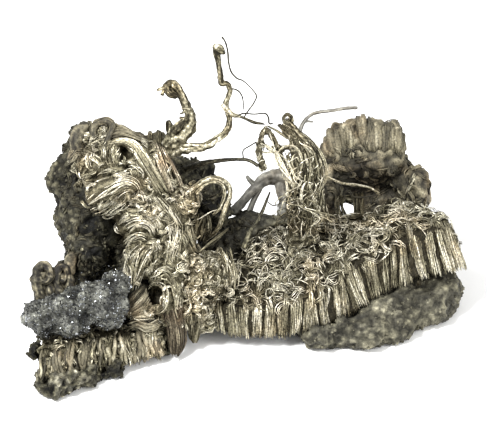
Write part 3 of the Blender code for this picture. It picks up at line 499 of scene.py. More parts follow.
def comb(wires, rails, spec, tree=None, spare=8.0):
    # strands side by side between rails of (across, up, lift) on a surface, or (across, up, away) in the open
    rnd = random.Random(int(abs(rails[0][0][0] * 97 + rails[0][0][1] * 31)) + wires.count)
    n = spec.get("points", 12)
    placed = []
    for rail in rails:
        if tree is None:
            placed.append(smoothPath(rail, n))
            continue
        flat = smoothPath([(p[0], p[1], p[2] if len(p) > 2 else 0.3) for p in rail], n)
        backs = np.array([awayAt(tree, a, u, np.nan) for a, u, _ in flat])
        known = ~np.isnan(backs)
        backs = np.interp(np.arange(n), np.arange(n)[known], backs[known]) if known.any() else np.full(n,
            spare)
        padded = np.pad(backs, 2, mode="edge")
        backs = sum(padded[k : k + n] for k in range(5)) / 5
        placed.append(np.stack([flat[:, 0], flat[:, 1], backs - flat[:, 2]], 1))
    placed = np.array(placed)
    strands = spec["strands"]
    low, high = spec.get("tone", (0.6, 1.0))
    spacing = np.linalg.norm(placed[0, n // 2, :2] - placed[-1, n // 2, :2]) / max(strands - 1, 1)
    seed, clumps = rnd.uniform(0, 50), spec.get("clumps", strands * 0.22)
    for k in range(strands + int(strands * spec.get("top", 0.5))):
        onTop = k >= strands
        share = rnd.random() if onTop else min(max((k + rnd.uniform(-0.4, 0.4)) / max(strands - 1, 1), 0), 1)
        sunken = not onTop and rnd.random() < spec.get("dark", 0.35)
        drift = rnd.gauss(0, spec.get("drift", 0.14) if onTop else 0.03)
        at = np.clip(share + drift * np.linspace(-0.5, 0.5, n), 0, 1) * (len(rails) - 1)
        i = np.minimum(at.astype(int), len(rails) - 2)
        part = (at - i)[:, None]
        line = placed[i, np.arange(n)] * (1 - part) + placed[i + 1, np.arange(n)] * part
        line[:, 2] += 0.2 if sunken else 0
        line[:, 2] -= spec.get("bulge",
            0.4) * math.sin(math.pi * share) + rnd.uniform(-1, 1) * spec.get("uneven", 0.12)
        t = np.linspace(0, 1, n)
        ridge = np.array([noise.noise(Vector((share * clumps, seed, s * 1.5))) for s in t])
        line[:, 2] -= ridge * spec.get("ridge", 0.45)
        wave = spec.get("wave", 0.5) * max(spacing, 0.1)
        phase, pace = rnd.uniform(0, 6.3), rnd.uniform(4, 9)
        line[:, 0] += wave * np.sin(phase + pace * t)
        line[:, 1] += wave * np.sin(phase * 1.7 + pace * 1.2 * t)
        ragged = spec.get("ragged", 0.08)
        first, last = rnd.uniform(0, ragged), 1 - rnd.uniform(0, ragged)
        if onTop:
            first = rnd.uniform(0, 0.5)
            last = first + rnd.uniform(0.35, 0.5)
            line[:, 2] -= 0.12
        line = np.stack([np.interp(np.linspace(first, last, n), t, line[:, c]) for c in range(3)], 1)
        path = np.array([seen(*p) for p in line])
        # sunken strands and the ends of each strand are darker, painted shade; strands raised by the ridge
        # and those on top are lighter, painted light
        light = low * 0.3 if sunken else low + (high - low) * rnd.random() ** spec.get("bias", 1.0)
        ends = spec.get("ends", 0.55)
        tone = light * (ends + (1 - ends) * np.sin(math.pi * (0.08 + 0.84 * t)) ** 0.6) * (0.95
            + spec.get("shade", 0.7) * ridge + (0.1 if onTop else 0))
        thick = spec["radius"] * rnd.uniform(0.75, 1.25) * mm * (1 - spec.get("taper",
            0.35) * np.abs(2 * t - 1) ** 3)
        wires.add(path, thick, tone, None, spec.get("wide", 1.0), spec.get("deep", 1.0))


sheetRight = (seen(1, 26, 0) - seen(0, 26, 0)).normalized()
sheetUp = (seen(0, 27, 0) - seen(0, 26, 0)).normalized()


def flowAt(point, size, seed):
    spot = Vector(point) / (size * mm)
    return Vector((noise.noise(spot + Vector((seed, 0, 0))), noise.noise(spot + Vector((0, seed, 9))),
        noise.noise(spot + Vector((5, 0, seed)))))


def hinted(point, hints):  # direction of growth near marked places: (across, up, degrees, reach)
    a, u, _ = sheetOf(point)
    pull = Vector()
    for across, up, degrees, reach in hints:
        weight = math.exp(-((a - across) ** 2 + (u - up) ** 2) / reach**2)
        turn = math.radians(degrees)
        pull += (sheetRight * math.cos(turn) + sheetUp * math.sin(turn)) * weight
    return pull


def surfaceSpots(obj, count, rng, keep=None):
    mesh = obj.data
    mesh.calc_loop_triangles()
    corners = np.array([t.vertices[:] for t in mesh.loop_triangles])
    co = np.empty(len(mesh.vertices) * 3, np.float32)
    mesh.vertices.foreach_get("co", co)
    tri = co.reshape(-1, 3)[corners]
    cross = np.cross(tri[:, 1] - tri[:, 0], tri[:, 2] - tri[:, 0])
    area = np.linalg.norm(cross, axis=1)
    pick = rng.choice(len(tri), size=count, p=area / area.sum())
    u, v = rng.random(count), rng.random(count)
    flip = u + v > 1
    u[flip], v[flip] = 1 - u[flip], 1 - v[flip]
    spots = tri[pick, 0] + (tri[pick, 1] - tri[pick, 0]) * u[:, None] + (tri[pick, 2] - tri[pick, 0]) * v[:,
        None]
    normals = cross[pick] / (area[pick, None] + 1e-20)
    if keep is not None:
        chosen = [i for i in range(count) if keep(spots[i], normals[i])]
        spots, normals = spots[chosen], normals[chosen]
    return spots, normals


def growLocks(wires, obj, tree, spec, seed, keep=None, hints=()):
    # locks of parallel strands that creep over the surface and dive in at both ends
    rng = np.random.default_rng(seed)
    rnd = random.Random(seed)
    spots, normals = surfaceSpots(obj, spec["count"], rng, keep)
    n = spec["points"]
    t = np.linspace(0, 1, n)
    for spot, normal in zip(spots, normals):
        pos, normal = Vector(spot), Vector(normal)
        if normal.dot(toEye) < -0.15 and rnd.random() > spec.get("behind", 0.5):
            continue
        heading = flowAt(pos, spec["swirl"], seed % 17) * 1.6 + Vector((rnd.gauss(0, 1), rnd.gauss(0, 1),
            rnd.gauss(0, 1))) * spec["wild"]
        if hints:
            heading += hinted(pos, hints) * 2.2
        if rnd.random() < 0.5:
            heading = -heading
        length = rnd.uniform(*spec["length"]) * mm
        step = length / (n - 1)
        bend, sway, phase = rnd.gauss(0,
            spec["curl"]), rnd.uniform(0.3, 1.0) * spec["curl"], rnd.uniform(0, 6.3)
        places, faces, sides = [], [], []
        for i in range(n):
            hit, face, _, _ = tree.find_nearest(pos)
            normal = (normal * 0.6 + face).normalized()
            heading = heading - normal * heading.dot(normal)
            if heading.length < 1e-6:
                heading = normal.orthogonal()
            heading.normalize()
            side = normal.cross(heading)
            places.append(hit)
            faces.append(normal.copy())
            sides.append(side)
            turn = (bend + sway * math.sin(phase + t[i] * 5)) * step / mm
            heading = heading * math.cos(turn) + side * math.sin(turn)
            pos = hit + heading * step
        places, faces, sides = np.array(places), np.array(faces), np.array(sides)
        strands = rnd.randint(*spec["strands"])
        half = spec["gap"] * (strands - 1) / 2
        rise = rnd.uniform(*spec["lift"])
        light = rnd.uniform(*spec["tone"])
        splay = rnd.uniform(0.3, 1.0)
        for k in range(strands):
            offset = spec["gap"] * k - half + rnd.uniform(-0.3, 0.3) * spec["gap"]
            first, last = rnd.uniform(0, 0.15), 1 - rnd.uniform(0, 0.15)
            spread = 0.5 + splay * 0.5 * np.sin(math.pi * t) ** 0.8 if rnd.random() < 0.7 else 0.7 + 0.3 * t
            crown = 1 - 0.6 * (offset / (half + spec["gap"])) ** 2
            height = rise * crown * np.sin(math.pi * t) ** 0.7 - spec["sink"] + rnd.uniform(-0.05, 0.08)
            path = places + (sides * (offset * spread)[:, None] + faces * height[:, None]) * mm
            path = np.stack([np.interp(np.linspace(first, last, n), t, path[:, c]) for c in range(3)], 1)
            own = light * rnd.uniform(0.7, 1.15)
            # strands darken towards both ends, where they dive in: painted shade
            tone = own * (0.4 + 0.6 * np.sin(math.pi * (0.05 + 0.9 * t)))
            thick = rnd.uniform(*spec["radius"]) * mm * (1 - 0.4 * np.abs(2 * t - 1) ** 3)
            wires.add(path, thick, tone, faces, rnd.uniform(0.9, 1.4), rnd.uniform(0.7, 1.0))


# thick free wires: fluted, knobbly limbs with lengthwise lines

def limbVerts(route, look, sides, perMm, seed):
    rough = smoothPath([tuple(p) for p in route], 200)
    centre = np.array([seen(*p[:3]) for p in rough])
    run = np.concatenate([[0], np.cumsum(np.linalg.norm(np.diff(centre, axis=0), axis=1))]) / mm
    n = max(6, int(run[-1] * perMm))
    at = np.linspace(0, run[-1], n)
    centre = np.stack([np.interp(at, run, centre[:, k]) for k in range(3)], 1)
    size = np.interp(at, run, rough[:, 3])
    ahead = np.gradient(centre, axis=0)
    ahead /= np.linalg.norm(ahead, axis=1, keepdims=True)
    side = np.cross(ahead, np.array(toEye))
    side /= np.linalg.norm(side, axis=1, keepdims=True) + 1e-9
    front = np.cross(side, ahead)
    size = size * look.get("thicker", 1)
    verts, grain, tones = [], [], []
    for i in range(n):
        for k in range(sides):
            angle = 2 * math.pi * k / sides
            turned = angle + look["twist"] * at[i]
            c, s = math.cos(turned), math.sin(turned)
            flute = noise.noise(Vector((c * look["flutes"], s * look["flutes"], at[i] * 0.25 + seed)))
            lump = noise.noise(Vector((c * 0.9, s * 0.9, at[i] * 1.3 + seed * 3)))
            fine = noise.noise(Vector((c * 5, s * 5, at[i] * 1.6 + seed)))
            r = size[i] * (1 + look["fluteDepth"] * flute + look["lumps"] * lump + look["fine"] * fine)
            spot = centre[i] + (side[i] * math.cos(angle) + front[i] * math.sin(angle)) * r * mm
            verts.append(spot)
            grain.append((c * size[i] * 1.2, s * size[i] * 1.2, at[i] + seed * 5))
            speck = noise.noise(Vector((c * 3.2, s * 3.2, at[i] * 2.6 + seed * 7)))
            # lighter on the raised flutes and lumps and darker in the grooves, painted light and shade, with
            # random specks and a change along the length
            tones.append(look["tone"] + 0.55 * look["fluteDepth"] / 0.2 * flute + 0.25 * lump
                + look["specks"] * speck + look["toneFall"] * (at[i] / run[-1] - 0.5))
    return np.array(verts), np.array(grain), np.array(tones), n


def limb(name, routes, material, slot, replaced, sides=20, perMm=7, **look):
    look = {"twist": 0.25, "flutes": 2.2, "fluteDepth": 0.2, "lumps": 0.16, "fine": 0.09, "tone": 0.5,
        "toneFall": 0.0, "specks": 0.5, **look}
    verts, quads, grain, tones, offset = [], [], [], [], 0
    for number, route in enumerate(routes):
        v, g, t, n = limbVerts(route, look, sides, perMm, number * 1.7 + len(name))
        first, last = v[:sides].mean(0), v[-sides:].mean(0)
        caps = []
        for middle, ring, shrink in ((first, v[:sides], 0.55), (last, v[-sides:], 0.55)):
            caps.append(middle + (ring - middle) * shrink)
        ends = np.array([(v[:sides].mean(0) - v[sides : 2 * sides].mean(0)),
            (v[-sides:].mean(0) - v[-2 * sides : -sides].mean(0))])
        ends /= np.linalg.norm(ends, axis=1, keepdims=True)
        tip = [route[0][3] * 0.45 * mm, route[-1][3] * 0.45 * mm]
        v = np.concatenate([caps[0] + ends[0] * tip[0], v, caps[1] + ends[1] * tip[1]])
        g = np.concatenate([g[:sides], g, g[-sides:]])
        t = np.concatenate([t[:sides], t, t[-sides:]])
        j = np.arange(n + 1)[:, None] * sides
        k = np.arange(sides)[None, :]
        low = offset + j + k
        right = offset + j + (k + 1) % sides
        quads.append(np.stack([low, right, right + sides, low + sides], -1).reshape(-1, 4))
        verts.append(v)
        grain.append(g)
        tones.append(t)
        offset += len(v)
    obj = meshObject(name, np.concatenate(verts), np.concatenate(quads), material)
    setNumbers(obj.data, "grain", np.concatenate(grain))
    setNumbers(obj.data, "tone", np.concatenate(tones))
    closeEnds(obj)
    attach(obj, "root")
    if replaced:
        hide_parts(replaced)
    print(f"{name}: {triangles(obj)} triangles")
    return obj


horn = {
    "main": [(-10.6, 34.9, 9.8, 1.15), (-9.9, 36.2, 9, 1.2), (-8.7, 37.2, 8.4, 1.1),
        (-7.75, 38.4, 7.9, 0.98), (-7.5, 39.9, 7.4, 0.8), (-7.9, 41.3, 7.1, 0.68), (-8.6, 42.8, 6.9, 0.64),
        (-9.4, 44, 6.7, 0.7), (-10.3, 44.5, 6.5, 0.7), (-10.75, 43.95, 6.2, 0.62), (-10.2, 43.2, 5.9, 0.55),
        (-9.4, 42.8, 5.8, 0.42)],
    "fold": [(-10.9, 36, 8.8, 0.6), (-10, 37.6, 8, 0.62), (-9, 38.6, 7.4, 0.6), (-8.4, 39.3, 7.2, 0.4)],
    "spur": [(-10.2, 37.4, 8.4, 0.62), (-10.35, 38.6, 8.3, 0.5), (-10.5, 39.3, 8.2, 0.36)],
    "flake": [(-10.6, 44.1, 6.2, 0.4), (-11.3, 43.9, 6, 0.3), (-12.1, 43.65, 5.9, 0.16)],
    "drop": [(-11, 43.9, 6, 0.16), (-11.25, 43.4, 6, 0.2), (-11.4, 43, 6, 0.3)],
    "thorns": [[(-8.1, 40.9, 6.8, 0.3), (-8.5, 40.5, 6.6, 0.18), (-8.9, 40.35, 6.5, 0.1)],
        [(-7.6, 41, 6.6, 0.25), (-8.2, 41.15, 6.4, 0.14), (-8.7, 41, 6.3, 0.08)],
        [(-8.4, 39.6, 7, 0.3), (-8.9, 39.8, 6.9, 0.2)]],
}
limb("ramsHorn", [horn["main"], horn["fold"], horn["spur"], horn["flake"], horn["drop"], *horn["thorns"]],
    silverFinish, "silver", "rams_horn", sides=24, perMm=8, fluteDepth=0.3, lumps=0.24, fine=0.16,
    tone=0.27, toneFall=-0.5)

knobbed = {
    "main": [(-9.8, 35.2, 9.8, 0.95), (-8.2, 35.5, 9.2, 0.78), (-6.8, 35.55, 8.6, 0.6),
        (-5.2, 35.8, 8, 0.52), (-3.8, 36.7, 7.6, 0.48), (-2.5, 37.8, 7.2, 0.48), (-1.95, 39.2, 6.9, 0.42),
        (-2.2, 40.6, 6.7, 0.4), (-2.5, 41.6, 6.6, 0.42), (-2.2, 42.6, 6.5, 0.36), (-1.9, 43.7, 6.3, 0.36),
        (-2.25, 44.6, 6.2, 0.36), (-3.05, 44.65, 6.1, 0.44), (-3.25, 45.6, 5.9, 0.42),
        (-3.5, 47.4, 5.7, 0.4), (-3.7, 48.6, 5.5, 0.46), (-3.75, 49.6, 5.4, 0.62)],
    "second": [(-9.6, 36, 8.9, 0.5), (-7.6, 36, 8.3, 0.34), (-5.8, 36.05, 7.8, 0.24),
        (-4.2, 36.9, 7.3, 0.2), (-2.6, 38.1, 6.9, 0.18), (-2.2, 39.6, 6.6, 0.15)],
    "split": [(-2.9, 41.6, 6.2, 0.34), (-2.3, 40.9, 6, 0.36), (-1.4, 40.2, 6, 0.32),
        (-0.4, 39.95, 6.1, 0.18), (1, 39.4, 6.6, 0.15), (2, 39.1, 7.6, 0.14), (2.7, 39, 9, 0.14)],
    "knob": [(-4.15, 49.75, 5.5, 0.4), (-3.6, 49.55, 5.4, 0.66), (-3.05, 49.1, 5.4, 0.56),
        (-2.7, 48.85, 5.5, 0.34)],
}
limb("knobbedWire", list(knobbed.values()), silverFinish, "silver", "knobbed_wire", sides=18, perMm=8,
    fluteDepth=0.26, lumps=0.24, fine=0.18, tone=0.36, toneFall=-0.54)

loop = {
    "main": [(-8.4, 28, 8.8, 0.5), (-6.7, 30, 8, 0.42), (-5.1, 31.1, 7.6, 0.42), (-3.5, 31.25, 7.6, 0.42),
        (-2.2, 30.4, 7.9, 0.42), (-1.9, 29, 8.3, 0.4), (-2.4, 27.6, 8.8, 0.4), (-2.9, 26.2, 9.6, 0.38),
        (-3.3, 24.8, 11, 0.34), (-4.2, 23.6, 12.8, 0.32), (-5.4, 22.6, 14.2, 0.32)],
    "inner": [(-6.6, 29.2, 7.8, 0.3), (-5.4, 30.4, 7.3, 0.24), (-4, 30.8, 7.2, 0.22),
        (-2.9, 30.2, 7.5, 0.22), (-2.7, 28.9, 7.9, 0.22), (-3.3, 27.2, 8.6, 0.2), (-4.2, 26.2, 9.4, 0.2)],
}
limb("loopWire", list(loop.values()), silverFinish, "silver", "loop_wire", sides=18, perMm=8,
    fluteDepth=0.28, lumps=0.22, fine=0.16, tone=0.49, thicker=0.92)

crossBar = [
    (-8, 32.6, 14, 0.5), (-6, 33.3, 12.6, 0.4), (-4.2, 33.7, 12, 0.32), (-1.6, 33.95, 11.8, 0.27),
    (0.4, 33.9, 11.7, 0.26), (1.4, 33.5, 11.8, 0.26), (2, 33.1, 11.9, 0.28),
]
limb("crossBar", [crossBar], dullFinish, "silver", "cross_bar_wire", sides=14, perMm=6, tone=0.16)

needle = [
    (3.7, 29.4, 15.2, 0.09), (3, 27.6, 15.4, 0.17), (2.2, 25.8, 15.8, 0.24), (1, 24, 16.2, 0.24),
    (0, 21.6, 16.4, 0.26),
]
limb("needle", [needle], dullFinish, "silver", "needle_wire", sides=10, perMm=6, tone=0.24, toneFall=0.7,
    thicker=1.3)

shelfWire = [
    (11.4, 31.7, 15, 0.16), (13.6, 30.7, 17.4, 0.19), (15.8, 30.4, 19, 0.18), (17.6, 30, 20.6, 0.18),
    (18.9, 29.2, 22, 0.22),
]
limb("shelfWire", [shelfWire], silverFinish, "silver", "shelf_wire", sides=10, perMm=6, tone=0.6)

rearBranch = {
    "main": [(10.6, 33.4, 29, 0.9), (8, 32.2, 27, 1.2), (5.4, 31.6, 25.6, 1.3), (3.2, 31.2, 24.8, 1),
        (1.4, 29.8, 24, 0.7), (0, 28.2, 23.4, 0.65), (-1.4, 26.6, 22.6, 0.8)],
    "leg": [(5, 31.2, 25.4, 1), (5.2, 29.6, 25, 0.75), (5.6, 28, 24.4, 0.7), (5.4, 26, 23, 0.8)],
    "tip": [(1.8, 30.2, 24.2, 0.48), (0.9, 31, 24, 0.36), (0.5, 31.6, 23.8, 0.24)],
    "stem": [(2.6, 30.4, 24.6, 0.4), (1.5, 28.4, 24.2, 0.4), (0.7, 26.4, 23.6, 0.5)],
}
limb("rearBranch", list(rearBranch.values()), paleFinish, "dull_silver", "rear_branch", sides=18, perMm=5,
    fluteDepth=0.12, lumps=0.12, tone=0.34, specks=0.12)

rearWire = [
    (10.2, 34.4, 28.6, 0.34), (8.6, 36, 28.4, 0.32), (7.9, 37.8, 28.4, 0.3), (8.6, 39.4, 28.4, 0.28),
    (9.9, 40.4, 28.4, 0.27), (12.4, 40.8, 28.4, 0.26), (14.2, 41.1, 28.4, 0.26), (15.9, 41.2, 28.4, 0.24),
]
rearTwig = [(8.4, 39.2, 28.4, 0.2), (9.1, 39.3, 28.4, 0.18), (9.7, 39.2, 28.4, 0.14)]
limb("rearWire", [rearWire, rearTwig], paleFinish, "dull_silver", "rear_wire", sides=12, perMm=5, tone=0.34,
    specks=0.1)

longHair = [
    (-3, 51.1, 4.8, 0.12), (-2.5, 50.3, 4.9, 0.1), (-2.2, 49, 5, 0.11), (-2.1, 47.6, 5.1, 0.1),
    (-1.7, 46.2, 5.3, 0.1), (-0.9, 45.3, 5.5, 0.1), (-0.1, 45, 5.7, 0.09), (0.9, 44.1, 5.8, 0.07),
    (1.8, 42.9, 5.8, 0.09), (1.4, 41.8, 5.8, 0.09), (0.6, 40.7, 5.8, 0.09), (0.1, 39.9, 5.9, 0.08),
]
limb("longHair", [longHair], dullFinish, "dull_silver", "hair_wire", sides=8, perMm=6, tone=0.02,
    specks=0.2, thicker=1.2)

fineHairs = [
    [(-1.7, 43.9, 6.2, 0.08), (-0.8, 43.6, 6.1, 0.09), (-0.2, 42.8, 6, 0.08), (0, 41.5, 6, 0.06),
        (-0.1, 40.8, 6, 0.07)],
    [(-1, 40, 6, 0.1), (0, 40.4, 6, 0.09), (1.5, 40.3, 6.2, 0.08), (3, 40.4, 7.4, 0.09),
        (3.5, 39.8, 8.6, 0.1), (3.6, 39, 10, 0.1), (4.2, 39, 11, 0.08)],
    [(-0.8, 40, 6, 0.09), (0.2, 39.6, 6.2, 0.09), (1.5, 39, 7.2, 0.08), (3, 38.9, 10, 0.09)],
    [(0, 34, 11.7, 0.08), (-0.05, 35.2, 11.5, 0.08), (0.8, 35.8, 11.5, 0.08), (1.8, 36.4, 11.6, 0.08)],
    [(1.8, 36, 11.4, 0.09), (1.75, 36.5, 11.3, 0.06)],
    [(14.2, 28.4, 19, 0.09), (14.1, 29.2, 18.8, 0.1), (14.7, 29.6, 18.7, 0.1), (15.2, 29.1, 18.8, 0.09)],
    [(15, 29, 18.8, 0.08), (15.6, 28.7, 19, 0.09), (17, 28.7, 19.4, 0.09), (18.3, 29, 20, 0.08)],
    [(3.4, 28, 15.2, 0.07), (4.2, 27.5, 15, 0.07), (5.2, 27.8, 14.8, 0.06)],
]
hairs = WireSet("fineHairs", 6)
for route in fineHairs:
    path = smoothPath(route, 28)
    hairs.add(np.array([seen(*p[:3]) for p in path]), path[:, 3] * 1.4 * mm, 0.03)
hairs.build(dullFinish)


# left wire mass: locks all round, then the combed fans, ribbons and rings that face the front

tangleTree = treeOf(cores["tangleCore"])
tangle = {"hints": [(-20, 29, 32, 3.5), (-16.5, 31, 5, 2.5), (-14.5, 25, -10, 2.2), (-11, 27, -55, 2.5),
    (-9, 22.5, -85, 2.4), (-14.5, 19.5, 62, 3.0), (-21, 36.5, 10, 3.0), (-12, 33, -60, 3.0),
    (-8.8, 27.5, -40, 2.0), (-9.5, 12, 85, 3.5), (-4, 17, -70, 2.0)], "curls": {"count": 1500, "points": 9,
    "length": (1.6, 3.2), "strands": (2, 3), "gap": 0.22, "curl": 1.2, "swirl": 1.8, "wild": 0.9,
    "lift": (0.4, 1.3), "sink": 0.1, "radius": (0.068, 0.095), "tone": (0.45, 1.3)},
    "under": {"count": 640, "behind": 0.45, "points": 8, "length": (2.4, 4.8), "strands": (4, 7),
    "gap": 0.25, "curl": 0.5, "swirl": 2.8, "wild": 0.4, "lift": (0.1, 0.5), "sink": 0.1,
    "radius": (0.08, 0.115), "tone": (0.42, 0.98)}, "over": {"count": 980, "behind": 0.33, "points": 8,
    "length": (1.6, 3.6), "strands": (2, 4), "gap": 0.25, "curl": 0.85, "swirl": 2.4, "wild": 0.5,
    "lift": (0.35, 0.95), "sink": 0.1, "radius": (0.068, 0.095), "tone": (0.58, 1.35)}}


